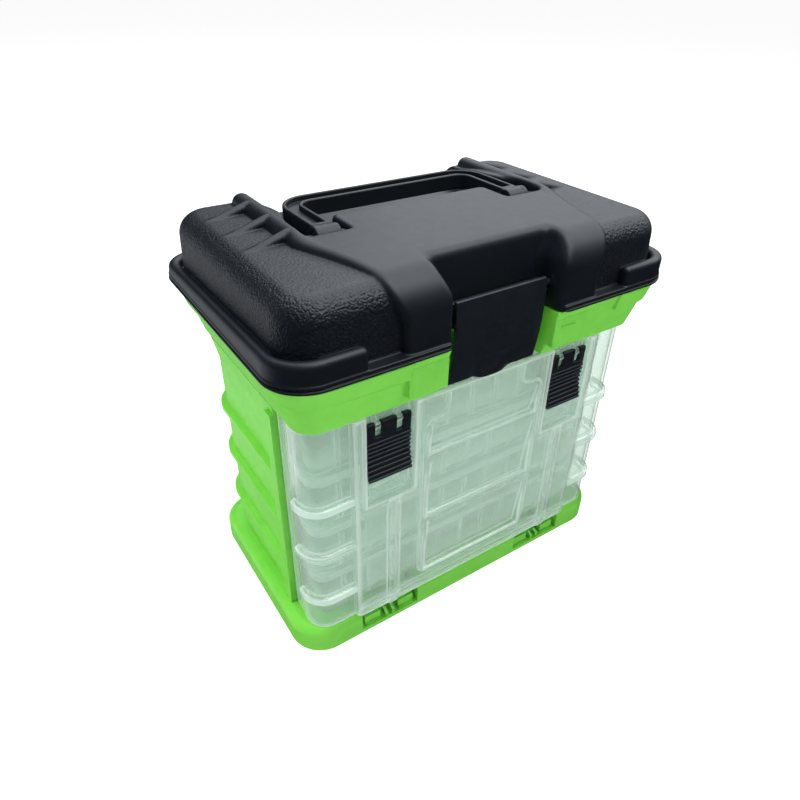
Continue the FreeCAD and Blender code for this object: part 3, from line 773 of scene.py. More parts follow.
@dataclass(frozen=True)
class BrightSteel:
    """Plated steel of pins and screws."""

    name: str = "plated_steel"

    def build(self) -> bpy.types.Material:
        """The Blender material."""
        shader = Shader(self.name)
        rough = shader.remap(shader.noise(2.0, 4.0), 0.22, 0.4, 0.3, 0.7)
        steel = shader.node("ShaderNodeBsdfPrincipled",
                            {"Base Color": (0.55, 0.56, 0.58, 1.0), "Metallic": 1.0, "Roughness": rough})
        return shader.finish(steel.outputs[0])


class Finish(Enum):
    """The finishes of this box, with the record's slot that each belongs to."""

    GREEN = "green_plastic"
    CHARCOAL = "charcoal_plastic"
    BLACK = "black_plastic"
    CLEAR = "clear_plastic"
    DIVIDER = "divider_plastic"
    STEEL = "steel"


class Palette:
    """Builds each finish once and hands it out."""

    def __init__(self) -> None:
        """Builds every finish."""
        self.made = {
            Finish.GREEN: MouldedPlastic("lime_green", (0.175, 0.610, 0.058), (0.155, 0.570, 0.050),
                                         0.42, 0.42, 0.6, 0.03, glow=0.12).build(),
            Finish.CHARCOAL: GrainedPlastic("charcoal_grained", (0.0036, 0.0058, 0.0092),
                                            (0.0028, 0.0047, 0.0078), 0.47, 0.5).build(),
            Finish.BLACK: MouldedPlastic("black_textured", (0.0062, 0.0086, 0.0130), (0.0052, 0.0074, 0.0114),
                                         0.42, 0.5, 0.75, 0.20).build(),
            Finish.CLEAR: ClearPlastic("clear_cover", (0.945, 0.98, 0.955), 0.035, 0.66).build(),
            Finish.DIVIDER: ClearPlastic("frosted_divider", (0.95, 0.982, 0.96), 0.11, 0.60).build(),
            Finish.STEEL: BrightSteel().build(),
        }

    def dress(self, made: bpy.types.Object, finish: Finish) -> None:
        """Gives a piece or a CAD node one finish."""
        material = self.made[finish]
        if made.data.materials:
            for place in range(len(made.data.materials)):
                made.data.materials[place] = material
        else:
            made.data.materials.append(material)


@dataclass
class Assembly:
    """What the sub-assemblies share: a palette, and how a piece is handed to the frame."""

    palette: Palette

    def place(self, made: bpy.types.Object, body: str, finish: Finish, *nodes: str) -> bpy.types.Object:
        """Dresses a piece and hands it to the frame.

        Args:
            made: The finished piece.
            body: The CAD body that it moves with.
            finish: Its finish.
            nodes: The CAD nodes that it stands for.

        Returns:
            The piece.
        """
        self.palette.dress(made, finish)
        if finish in (Finish.CLEAR, Finish.DIVIDER):
            # the fold values carry the clear finishes' painted highlight along folds
            mark_folds(made)
        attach(made, body)
        if nodes:
            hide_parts(*nodes)
        LOG.info("piece %s on %s: %d faces", made.name, body, len(made.data.polygons))
        return made


# ---------------------------------------------------------------- lid
@dataclass
class Lid(Assembly):
    """The charcoal lid: a grained dome, a raised bridge with ribs and gussets, a well and a latch recess."""

    half: float = 135.0
    depth: float = 90.0
    base: float = 209.5
    deck: float = 213.6
    dome_half: float = 127.0
    dome_front: float = -82.6
    dome_back: float = 80.0
    dome_top: float = 250.0
    bridge_top: float = 254.0
    rib_x: float = 88.6
    rib_radius: float = 6.0
    recess_half: float = 37.8
    wall: float = 2.6

    def rim(self, x: Array, y: Array, z: Array) -> Array:
        """The skirt: two thin lips, one above the other, and the flat deck over them."""
        edge = plan(x, y, self.half, -self.depth, self.depth, 24.0)
        low = round_meet(edge, band(z, self.base, self.base + 1.7), 0.7)
        high = round_meet(edge + 0.3, band(z, self.base + 2.3, self.deck), 0.7)
        core = round_meet(edge + 1.2, band(z, self.base, self.deck), 0.5)
        return np.minimum(np.minimum(low, high), core)

    def bead(self, x: Array, y: Array, z: Array) -> Array:
        """The tall rounded bead that follows the rim and ends beside the front legs."""
        edge = plan(x, y, self.half, -self.depth, self.depth, 24.0)
        top = 222.3 - 0.034 * y
        ring = round_meet(np.abs(edge + 4.4) - 3.4, np.maximum(self.base + 1 - z, z - top), 3.35)
        return carve(ring, np.maximum(x - 88.0, y + 60.0), 3.5)

    def dome(self, x: Array, y: Array, z: Array) -> Array:
        """The two grained domes, which run on under the bridge."""
        outline = plan(x, y, self.dome_half, self.dome_front, self.dome_back, 21.0)
        return round_meet(outline + 0.045 * (z - 216.0), z - self.dome_top, 12.0)

    def bridge_half(self, y: Array, z: Array | float) -> Array:
        """Half the bridge's width: it flares up the legs and sweeps out to the wide middle."""
        sweep = np.clip((y + 80.0) / 66.0, 0, 1)
        return 67.0 + 8.6 * smooth((z - 225.0) / 30.0) + 19.5 * sweep ** 1.75 * (1 - 0.18 * sweep ** 6)

    def bridge(self, x: Array, y: Array, z: Array) -> Array:
        """The raised middle, which slopes at the front and runs down in two legs."""
        side = (x - self.bridge_half(y, z)) * (1 - 0.11 * window(y, -75.0, -14.0, 20.0))
        slope = -0.10 * (y + 58.0) + 0.99 * (z - self.bridge_top)
        top = meet(z - self.bridge_top, slope, 3.0)
        front = -(y + 87.8) + 0.04 * (z - 215.0)
        fall = 0.22 * (y - 42.0) + 0.97 * (z - self.bridge_top)
        top = meet(round_meet(top, front, 18.0), fall, 5.0)
        back = y - self.dome_back + 0.045 * (z - 216.0)
        return round_meet(side, meet(top, back, 6.0), 5.0)

    def rib(self, x: Array, y: Array, z: Array) -> Array:
        """The half-round rib, which sinks into the bridge's sweeping edge and has a nose at the back."""
        middle = np.minimum(self.rib_x, self.bridge_half(y, 250.0) - 5.8)
        away = (x - middle) * (1 - 0.11 * window(y, -75.0, -14.0, 20.0))
        along = np.hypot(away, y - np.clip(y, -52.0, 64.0))
        sink = 250.0 - 3.4 * smooth((-4.0 - y) / 40.0)
        return np.hypot(along, np.maximum(z - sink, 0)) - self.rib_radius

    def gussets(self, x: Array, y: Array, z: Array) -> Array:
        """Three slanting bars from the rib down to the dome."""
        bars = [capsule(x, y, z, (88.6, start + 0.6, 252.8), (113.5, start - 3.4, 246.6), 3.1)
                for start in (-5.8, 20.6, 48.2)]
        return np.minimum(np.minimum(bars[0], bars[1]), bars[2])

    def well(self, x: Array, y: Array, z: Array) -> Array:
        """The space round the folded grip, open at the back, with the finger gap behind the plate."""
        side = x - (82.4 - 6.4 * smooth((y - 2.0) / 30.0))
        pocket = meet(-15.5 - y, side, 4.0)
        plate = meet(x - 55.0, y - 9.0, 4.0)
        return meet(carve(pocket, plate, 4.0), 236.0 - z, 3.0)

    def recess(self, x: Array, y: Array, z: Array) -> Array:
        """The notch in the front for the big latch, wider towards its top."""
        side = x - self.recess_half - 3.5 * smooth((z - 236.0) / 14.0)
        back = y + 67.5 - 0.08 * (z - 230.0)
        return meet(side, back, 6.0)

    def outer(self, x: Array, y: Array, z: Array) -> Array:
        """The lid's outer form without its cut-outs."""
        shape = join(self.dome(x, y, z), self.bridge(x, y, z), 1.2)
        shape = join(shape, self.rib(x, y, z), 1.0)
        shape = join(shape, self.gussets(x, y, z), 0.9)
        return join(join(shape, self.rim(x, y, z), 1.0), self.bead(x, y, z), 0.8)

    def hollow(self, x: Array, y: Array, z: Array) -> Array:
        """The space inside the lid."""
        inside = np.minimum(self.dome(x, y, z), self.bridge(x, y, z)) + self.wall
        edge = plan(x, y, self.half, -self.depth, self.depth, 24.0)
        inside = join(inside, np.maximum(edge + 5.0, z - self.deck + 1.8), 1.5)
        inside = meet(inside, self.wall - self.well(x, y, z), 1.5)
        return meet(inside, self.wall - self.recess(x, y, z), 1.5)

    def knuckles(self, shape: Array, x: Array, y: Array, z: Array) -> Array:
        """Adds the hinge barrels, and makes room for the bin's hinge arms."""
        pin = rod(y, z, LID_HINGE, 0.0)
        for place in HINGE_ARMS:
            reach = np.abs(x - place) - 5.4
            gap = np.maximum(pin - 5.75, reach)
            behind = np.maximum(reach, np.maximum(LID_HINGE[0] - y, np.abs(z - 208.5) - 5.5))
            shape = np.maximum(shape, -np.minimum(gap, behind))
        barrel = np.maximum(pin - 3.5, np.abs(x - 75.0) - 7.0)
        web = np.maximum(np.maximum(np.abs(y - 85.1) - 3.3, np.abs(x - 75.0) - 7.0),
                         band(z, LID_HINGE[1], 212.0))
        return np.minimum(shape, np.minimum(barrel, web))

    def shape(self, x: Array, y: Array, z: Array) -> Array:
        """The whole lid."""
        x = np.abs(x)
        solid = carve(self.outer(x, y, z), self.well(x, y, z), 2.6)
        solid = carve(solid, self.recess(x, y, z), 5.0)
        solid = carve(solid, self.hollow(x, y, z), 0.6)
        solid = np.maximum(solid, self.base - z)
        boss = np.maximum(rod(y, z, LID_LATCH_PIN, 4.5), band(x, self.recess_half - 0.3, 44.0))
        solid = join(solid, boss, 0.8)
        return self.knuckles(solid, x, y, z)

    def build(self) -> None:
        """Makes the lid and marks where its leather grain lies."""
        step = 1.2
        axes = (axis(-step / 2, 137.0, step), axis(-91.2, 91.4, step),
                np.concatenate([axis(204.6, 214.4, 0.55), axis(215.2, 258.0, step)]))
        made = skin("lid_shell", self.shape, axes, mirrored=True, keep=0.62)
        points = coordinates(made)
        x, y, z = np.abs(points[:, 0]), points[:, 1], points[:, 2]
        others = np.minimum.reduce([part(x, y, z) for part in (self.bridge, self.rib, self.gussets,
                                                               self.bead, self.rim)])
        fade = smooth((others - self.dome(x, y, z) - 0.3) / 1.5)
        flat = 1 - 0.62 * smooth((z - 248.6) / 1.3)
        grain = made.data.attributes.new("grain", "FLOAT", "POINT")
        grain.data.foreach_set("value", (fade * flat).astype(np.float32))
        self.place(made, "lid", Finish.CHARCOAL, "lid")


@dataclass
class Grip(Assembly):
    """The folding carry handle: a channel-section bow between two barrels."""

    pivot: Pair = (-8.0, 249.0)
    arm_x: float = 67.0
    width: float = 12.0
    back: float = 49.0

    def shape(self, x: Array, y: Array, z: Array) -> Array:
        """The bow with its channels, and the barrels."""
        x = np.abs(x)
        outer, half = self.arm_x + self.width / 2, self.width / 2
        ring = plan(x, y, outer, -120.0, self.back, 20.0)
        line = np.abs(ring + half) - half
        level = z - self.pivot[1] - 0.4
        bow = round_meet(np.maximum(line, self.pivot[0] - y), np.abs(level) - 5.0, 0.9)
        channel = np.maximum(np.abs(ring + half) - 3.7,
                             np.maximum(7.6 - (y - self.pivot[0]), 1.7 - np.abs(level)))
        bow = carve(bow, channel, 0.7)
        barrel = round_meet(rod(y, z, self.pivot, 6.1), np.abs(x - self.arm_x) - 7.6, 0.7)
        collar = round_meet(rod(y, z, self.pivot, 6.5), np.abs(x - self.arm_x - 5.9) - 1.3, 0.5)
        body = join(join(bow, barrel, 1.2), collar, 0.6)
        return carve(body, rod(y, z, self.pivot, 2.15), 0.3)

    def build(self) -> None:
        """Makes the handle."""
        step = 0.9
        axes = (axis(-step / 2, 76.5, step), axis(-16.0, 51.0, step), axis(241.2, 257.4, step * 0.8))
        made = skin("grip_bow", self.shape, axes, mirrored=True, soften=0.2)
        self.place(made, "carry_handle", Finish.CHARCOAL, "carry_handle")


@dataclass
class BigLatch(Assembly):
    """The wide lid latch: a bowed plate with a scooped finger lip."""

    half: float = 31.5
    top: float = 229.8
    bottom: float = 178.5
    pivot: Pair = LID_LATCH_PIN

    def shape(self, x: Array, y: Array, z: Array) -> Array:
        """The plate, its lip and its barrel."""
        x = np.abs(x)
        share = (self.top - z) / (self.top - self.bottom)
        face = -79.6 - 7.2 * share * (1 - share) * (1 - 0.25 * share) + 2.2 * share ** 2
        swell = smooth((17.0 - x) / 15.0) * smooth((share - 0.78) / 0.22)
        face = face + 1.5 * smooth((18.0 - x) / 7.0) * window(share, 0.80, 1.2, 0.16) - 2.6 * swell
        low = self.bottom - 2.6 * smooth((16.0 - x) / 9.0)
        plate = np.maximum(face - y, y - face - 2.6)
        plate = round_meet(plate, np.maximum(np.maximum(z - self.top, low - z), x - self.half), 0.7)
        web = np.maximum(band(y, -79.0, self.pivot[0]), np.abs(z - self.pivot[1]) - 3.0)
        web = np.maximum(web, x - self.half + 2)
        barrel = round_meet(rod(y, z, self.pivot, 4.0), x - self.half + 0.1, 0.6)
        body = join(join(plate, web, 0.8), barrel, 0.8)
        return carve(body, rod(y, z, self.pivot, 2.2), 0.3)

    def build(self) -> None:
        """Makes the latch."""
        step = 0.8
        axes = (axis(-step / 2, 33.0, step), axis(-85.5, -69.5, 0.55), axis(174.4, 231.6, step))
        made = skin("latch_plate", self.shape, axes, mirrored=True, soften=0.2)
        self.place(made, "lid_latch", Finish.BLACK, "lid_latch")


# ---------------------------------------------------------------- green body
@dataclass
class BulkBin(Assembly):
    """The green bin under the lid, with a proud band, raised panels beside the latch, and hinge arms."""

    half: float = 131.0
    flare: float = 9.7
    base: float = 177.0
    top: float = 209.0
    front: float = -87.0
    back: float = 79.0
    ledge: float = 197.0
    recess_half: float = 38.0
    wall: float = 2.4

    def tub(self, x: Array, y: Array, z: Array, inset: float) -> Array:
        """The flared tub, smaller by an inset."""
        share = (z - self.base) / (self.top - self.base)
        edge = plan(x, y, self.half, self.front, self.back, 23.0)
        return (edge + self.flare * (1 - share) + inset) * 0.957

    def shape(self, x: Array, y: Array, z: Array) -> Array:
        """The whole bin."""
        side = np.abs(x)
        tub = self.tub(x, y, z, 0.0)
        outer = round_meet(tub, band(z, self.base, self.top), 0.8)
        free = np.maximum(np.maximum(-62.0 - x, x - 88.0), y + 60.0)
        proud = round_meet(tub - 1.9, band(z, self.ledge, self.top), 0.6)
        proud = carve(proud, free, 0.8)
        outer = join(outer, proud, 0.4)
        foot = round_meet(np.maximum(-85.6 - y, y + 70.0), band(z, 185.0, 203.5), 0.7)
        foot = round_meet(foot, side - (63.0 + 6.0 * smooth((z - 200.0) / 1.5)), 0.7)
        outer = join(outer, foot, 0.4)
        notch = np.maximum(side - self.recess_half, y + 72.0)
        outer = carve(outer, notch, 0.8)
        slot = round_meet(np.maximum(band(x, 43.0, 55.0), np.abs(z - 199.0) - 1.0), y + 85.0, 0.3)
        outer = carve(outer, slot, 0.5)
        hollow = np.maximum(self.tub(x, y, z, self.wall), self.base + 3.0 - z)
        hollow = np.maximum(hollow, self.wall - np.maximum(side - self.recess_half, y + 72.0))
        body = carve(outer, hollow, 0.6)
        catch = round_meet(np.maximum(side - 20.0, band(z, 184.0, 186.5)), band(y, -73.2, -70.0), 0.4)
        body = join(body, catch, 0.5)
        pin = rod(y, z, LID_HINGE, 0.0)
        for place in HINGE_ARMS:
            reach = np.abs(side - place) - 5.0
            arm = np.maximum(band(y, self.back - 2.0, LID_HINGE[0] + 2.0),
                             (y - self.back) * 1.4 + self.ledge - z)
            arm = np.maximum(np.maximum(arm, z - LID_HINGE[1]), reach)
            body = join(body, np.minimum(arm, np.maximum(pin - 3.5, reach)), 0.6)
        return np.maximum(body, 1.5 - pin)

    def build(self) -> None:
        """Makes the bin."""
        step = 1.25
        axes = (axis(-134.0, 134.2, step), axis(-90.2, 90.5, step), axis(175.8, 214.0, 0.8))
        made = skin("bin_tub", self.shape, axes, keep=0.75, soften=0.15)
        self.place(made, "root", Finish.GREEN, "bulk_bin")


# ---------------------------------------------------------------- clear door
@dataclass
class FrontDoor(Assembly):
    """The clear one-piece cover, wrapped round both front corners."""

    half: float = 118.0
    column_y: float = -71.0
    proud: float = 4.0
    middle: float = 90.0
    corner: float = 11.0
    back: float = -43.0
    bottom: float = 20.2
    top: float = 175.5
    thickness: float = 2.0
    pivot: Pair = (-69.0, 12.5)
    swing: float = 163.8
    ridges: tuple[float, ...] = (119.5, 83.0, 46.0)
    louvres: tuple[Pair, ...] = ((156.0, 132.7), (130.6, 83.2), (81.0, 34.6))
    latch_recess: tuple[float, float, float] = (50.5, 84.5, 112.0)
    panel_half: float = 41.5
    rail: tuple[float, float, float] = (63.0, 68.6, 109.0)
    foot_line: Pair = (28.8, 30.2)
    soft: float = 0.9

    @property
    def straight(self) -> float:
        """Where the flat front ends and the corner starts."""
        return self.half - self.corner

    @property
    def side_start(self) -> float:
        """Where the corner ends and the side starts, measured round the plan."""
        return self.straight + self.corner * math.pi / 2

    def reach(self) -> float:
        """Length of half the door's plan, from the middle round the corner to its back edge."""
        return self.side_start + abs(self.back - self.column_y) - self.corner

    def relief(self, s: Array, z: Array) -> Array:
        """How far the sheet stands out of its base line, at a place along the plan and a height."""
        def patch(low: float, high: float, bottom: float = -BEYOND, top: float = BEYOND) -> Array:
            """1 inside a patch of the sheet and 0 outside it."""
            return window(a, low, high, self.soft) * window(z, bottom, top, self.soft)

        a = np.abs(s)
        inner, outer, sill = self.latch_recess
        h = self.proud * window(a, -BEYOND, self.middle, 1.6) - 5.6 * patch(inner, outer, sill)
        for top, low in self.louvres:
            h -= 3.0 * (top - z) / (top - low) * patch(-BEYOND, self.panel_half, low, top + 1.0)
        for level in self.ridges:
            h += 2.7 * patch(91.0, self.side_start + 3.0, level - 1.5, level + 1.5)
        inner, outer, head = self.rail
        h += 0.9 * patch(inner, outer, 0.0, head)
        h -= 1.0 * patch(self.side_start + 4.5, BEYOND)
        return h + 0.8 * patch(-BEYOND, self.middle - 1.0, *self.foot_line)

    def sheet(self) -> bpy.types.Object:
        """The cover's sheet with its thickness."""
        straight, side_start = self.straight, self.side_start
        stops = [self.panel_half, *self.latch_recess[:2], *self.rail[:2], self.middle, 91.0,
                 side_start + 3.0, side_start + 4.5]
        levels = [self.latch_recess[2], self.rail[2], *self.foot_line]
        levels += [v for pair in self.louvres for v in (pair[1], pair[0] + 1.0)]
        levels += [v + d for v in self.ridges for d in (-1.5, 1.5)]
        right = grid_lines([*stops, straight, side_start], 0.0, self.reach(), 3.0, self.soft)
        arc = np.linspace(straight, side_start, 12)
        right = np.unique(np.round(np.concatenate([right, arc]), 4))
        s = np.concatenate([-right[:0:-1], right])
        z = grid_lines(levels, self.bottom, self.top, 3.0, self.soft)
        s_grid, z_grid = np.meshgrid(s, z, indexing="ij")
        out = self.relief(s_grid, z_grid)
        a = np.abs(s_grid)
        turn = np.clip((a - straight) / self.corner, 0, math.pi / 2)
        down = np.maximum(a - side_start, 0)
        x = np.minimum(a, straight) + self.corner * np.sin(turn)
        y = self.column_y + self.corner * (1 - np.cos(turn)) + down
        x = (x + out * np.sin(turn)) * np.sign(s_grid)
        y = y - out * np.cos(turn)
        ceiling = self.pivot[1] + np.sqrt(self.swing ** 2 - (y - self.pivot[0]) ** 2)
        points = np.stack([x, y, np.minimum(z_grid, ceiling)], -1).reshape(-1, 3)
        made = make_object("door_sheet", points, sheet_faces(len(s), len(z)))
        wall = made.modifiers.new("wall", "SOLIDIFY")
        wall.thickness, wall.offset = self.thickness * MM, 1.0
        apply_modifiers(made)
        return crease(outward(made), 50)

    def frame_line(self, tree: Tree, material: bpy.types.Material) -> bpy.types.Object:
        """The raised line round the middle panels, with stepped upper corners."""
        y = self.column_y - self.proud - 0.1
        right = [(28.0, self.top - 0.6), (28.0, 158.0), (45.5, 158.0), (45.5, 33.0)]
        points = [(x, y, z) for x, z in right] + [(-x, y, z) for x, z in reversed(right)]
        return tree.bake("door_frame_line", {"Corner": 6.5 * MM, "Radius": 1.25 * MM, "Material": material},
                         path_curve("frame_path", points))

    def hinge(self) -> list[bpy.types.Object]:
        """One pin with its arms, and the strip that carries them."""
        y, z = self.pivot
        low, high = 44.0, 88.0
        turns = np.linspace(0, 2 * math.pi, 16, endpoint=False)
        ring = [(y + 2.2 * math.cos(t), z + 2.2 * math.sin(t)) for t in turns]
        parts = [prism("pin", ring, low + 0.5, high - 0.5, 0.0)]
        face = self.column_y - self.proud + 0.2
        for x, half in ((low + 1.4, 0.9), ((low + high) / 2, 5.6), (high - 1.4, 0.9)):
            outline = [(y + 2.0, z - 0.4), (y + 1.0, self.bottom + 1.5), (face, self.bottom + 1.5),
                       (face, self.bottom), (y - 2.2, z + 0.3)]
            parts.append(prism("arm", outline, x - half, x + half))
        parts.append(block("strip", (low, face, self.bottom), (high, y + 1.0, self.bottom + 1.6)))
        return parts

    def lugs(self) -> list[bpy.types.Object]:
        """The latch's lugs and the wedge that its hook snaps behind."""
        y, z = DOOR_LATCH_PIN
        floor = -69.0
        lug = [(floor, z - 4), (y - 1.2, z - 2.4), (y - 2.6, z), (y - 1.2, z + 2.4), (floor, z + 4)]
        wedge = [(floor, 114), (floor - 4.8, 114.3), (floor - 4.2, 116.0), (floor, 121.5)]
        parts = [prism("lug", lug, x - 1.6, x + 1.6, 0.4) for x in (61.0, 75.0)]
        return [*parts, prism("wedge", wedge, 55.5, 79.5, 0.5)]

    def build(self) -> None:
        """Makes the cover and what is moulded onto it."""
        clear = self.palette.made[Finish.CLEAR]
        line = self.frame_line(moulding_tree(), clear)
        small = self.hinge() + self.lugs()
        small += [mirror(part, part.name + "_left") for part in small]
        made = merge("front_cover", [self.sheet(), line, *small])
        crease(made, 50)
        self.place(made, "front_door", Finish.CLEAR, "front_door")


@dataclass
class DoorLatches(Assembly):
    """The two small black latches with grip ridges."""

    x: float = 68.0
    half: float = 14.25
    length: float = 36.0
    pivot: Pair = DOOR_LATCH_PIN
    ridges: int = 9

    def face(self, drop: Array, rise: float) -> Array:
        """The front's y at a share of the way down, `rise` in front of the pin."""
        lean = 1.1 * smooth((drop - 0.1) / 0.5)
        return self.pivot[0] - rise + lean - 2.6 * smooth((drop - 0.55) / 0.45)

    def shape(self, x: Array, y: Array, z: Array) -> Array:
        """An S-shaped plate with a barrel, slotted round the door's lugs."""
        drop = (self.pivot[1] - z) / self.length
        face = self.face(drop, 2.4)
        plate = np.maximum(face - y, y - face - 2.2 - 0.5 * smooth(drop * 3))
        ends = np.maximum(np.abs(x - self.x) - self.half,
                          band(z, self.pivot[1] - self.length, self.pivot[1] + 3.0))
        plate = round_meet(plate, ends, 0.6)
        barrel = round_meet(rod(y, z, self.pivot, 2.4), np.abs(x - self.x) - self.half, 0.4)
        body = join(plate, barrel, 0.6)
        for place in (self.x - 7.0, self.x + 7.0):
            gap = np.maximum(np.abs(x - place) - 2.2, band(z, self.pivot[1] - 7.0, self.pivot[1] + 9.0))
            body = carve(body, gap, 0.5)
        return carve(body, rod(y, z, self.pivot, 1.2), 0.2)

    def grip(self, tree: Tree) -> bpy.types.Object:
        """Half-round ridges across the lower two thirds."""
        drops = np.linspace(0.30, 0.97, self.ridges)
        places = [(self.x, y, self.pivot[1] - self.length * drop)
                  for y, drop in zip(self.face(drops, 2.2), drops)]
        line = make_object("ridge_line", np.array(places), [], False)
        return tree.bake("ridges", {"Radius": 0.95 * MM, "Length": 2 * self.half * MM,
                                    "Material": self.palette.made[Finish.BLACK]}, line)

    def build(self) -> None:
        """Makes both latches."""
        axes = (axis(self.x - 15.4, self.x + 15.6, 0.62), axis(-79.5, -69.0, 0.5), axis(129.0, 170.6, 0.62))
        plate = skin("latch_plate_small", self.shape, axes, soften=0.15)
        right = merge("small_latch_right", [plate, crease(self.grip(ridge_tree()), 40)])
        left = mirror(right, "small_latch_left")
        self.place(right, "door_latch_right", Finish.BLACK, "door_latch_right")
        self.place(left, "door_latch_left", Finish.BLACK, "door_latch_left")


# ---------------------------------------------------------------- organizers
@dataclass
class Organizer(Assembly):
    """One clear organizer: tray, lid, clips and loose dividers."""

    number: int = 1
    half: float = 113.0
    front: float = -64.0
    depth: float = 120.0
    height: float = 37.2
    pitch: float = 39.1
    first: float = 20.0
    wall: float = 1.6
    corner: float = 9.0

    def floor(self) -> float:
        """Height of the tray's underside."""
        return self.first + self.pitch * (4 - self.number)

    def tray(self, rows: Tree) -> bpy.types.Object:
        """The tray with its fixed walls and the keepers that hold the dividers."""
        z0, t = self.floor(), self.wall
        z1 = z0 + self.height - 2.4
        outer = [(3.2, z0), (1.7, z0 + 0.5), (1.0, z0 + 2.0), (0.6, z1 - 5.0), (0.6, z1 - 4.2),
                 (0.0, z1 - 3.8), (0.0, z1)]
        inner = [(t, z1), (t + 0.4, z1 - 5.0), (t + 1.0, z0 + t + 2.0), (t + 3.0, z0 + t)]
        shell = loft("tray", outer + inner, self.half, self.front, self.front + self.depth, self.corner)
        clear = self.palette.made[Finish.CLEAR]
        parts = [shell]
        for share in (1 / 3, 2 / 3):
            y = self.front + self.depth * share
            parts.append(block("bay_wall", (-self.half + t, y - 0.6, z0 + 1),
                               (self.half - t, y + 0.6, z1 - 1), 0.2))
        for y in (self.front + t + 1.2, self.front + self.depth / 3, self.front + self.depth * 2 / 3,
                  self.front + self.depth - t - 1.2):
            for side in (-1.5, 1.5):
                pitch = 2 * self.half / 12
                start = -self.half + pitch + side
                parts.append(rows.bake("keepers", {
                    "Count": 11, "Start": (start * MM, y * MM, (z0 + z1 - 3) / 2 * MM),
                    "Step": (pitch * MM, 0, 0), "Size": (0.9 * MM, 2.8 * MM, (z1 - z0 - 5) * MM),
                    "Material": clear}))
        return merge(f"organizer_{self.number}_box", parts)

    def dividers(self, rows: Tree) -> bpy.types.Object:
        """Loose dividers, laid out differently in each tray."""
        z0, frosted = self.floor() + self.wall, self.palette.made[Finish.DIVIDER]
        parts = []
        pitch = 2 * self.half / 6
        for row in range(3):
            y = self.front + self.depth * (row + 0.5) / 3
            start = -self.half + pitch * (1 + (row + self.number) % 2)
            parts.append(rows.bake("plates", {
                "Count": 3 if (row + self.number) % 2 == 0 else 2,
                "Start": (start * MM, y * MM, (z0 + 15.4) * MM), "Step": (2 * pitch * MM, 0, 0),
                "Size": (1.0 * MM, 37.0 * MM, 30.0 * MM), "Material": frosted}))
        return merge(f"organizer_{self.number}_plates", parts)

    def cover(self) -> bpy.types.Object:
        """The organizer's own lid, with a rim line and a shallow dish."""
        z1 = self.floor() + self.height
        rings = [(0.3, z1 - 2.4), (-0.2, z1 - 2.0), (-0.2, z1 - 0.5), (0.3, z1), (2.6, z1), (3.1, z1 - 0.8),
                 (6.5, z1 - 0.8), (6.5, z1 - 2.2), (2.6, z1 - 2.4)]
        return loft(f"organizer_{self.number}_cover", rings, self.half, self.front, self.front + self.depth,
                    self.corner)

    def clips(self) -> bpy.types.Object:
        """The two snap clips on the tray's front."""
        z1 = self.floor() + self.height
        y = self.front
        profile = [(y + 0.3, z1 - 1.5), (y - 1.5, z1 - 2.5), (y - 1.5, z1 - 20.0), (y - 2.6, z1 - 24.0),
                   (y - 1.2, z1 - 25.0), (y - 0.2, z1 - 21.0), (y - 0.2, z1 - 3.5)]
        right = prism("clip", profile, 57.0, 79.0, 0.4)
        return merge(f"organizer_{self.number}_snaps", [right, mirror(right, "clip_left")])

    def build(self) -> None:
        """Makes this organizer's four pieces."""
        body, node = f"organizer_{self.number}", f"organizer_{self.number}_"
        rows = row_tree()
        self.place(self.tray(rows), body, Finish.CLEAR, node + "tray")
        self.place(self.cover(), body, Finish.CLEAR, node + "lid")
        self.place(self.clips(), body, Finish.CLEAR, node + "clips")
        self.place(self.dividers(rows), body, Finish.DIVIDER, node + "dividers")


@dataclass
class CarriedOver(Assembly):
    """CAD nodes whose shape is right, with their finishes."""

    finishes: dict[str, Finish] = field(default_factory=lambda: {
        "base_plinth": Finish.GREEN, "body_shell": Finish.GREEN, "plinth_screws": Finish.STEEL,
        "lid_latch_pin": Finish.BLACK, "lid_hinge_pin_left": Finish.STEEL,
        "lid_hinge_pin_right": Finish.STEEL, "handle_pin_left": Finish.BLACK, "handle_pin_right": Finish.BLACK,
        "door_latch_pin_left": Finish.STEEL, "door_latch_pin_right": Finish.STEEL})

    def build(self) -> None:
        """Dresses every carried-over node."""
        for name, finish in self.finishes.items():
            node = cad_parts[name]
            self.palette.dress(node, finish)
            LOG.info("CAD node %s stays, in %s", name, finish.value)


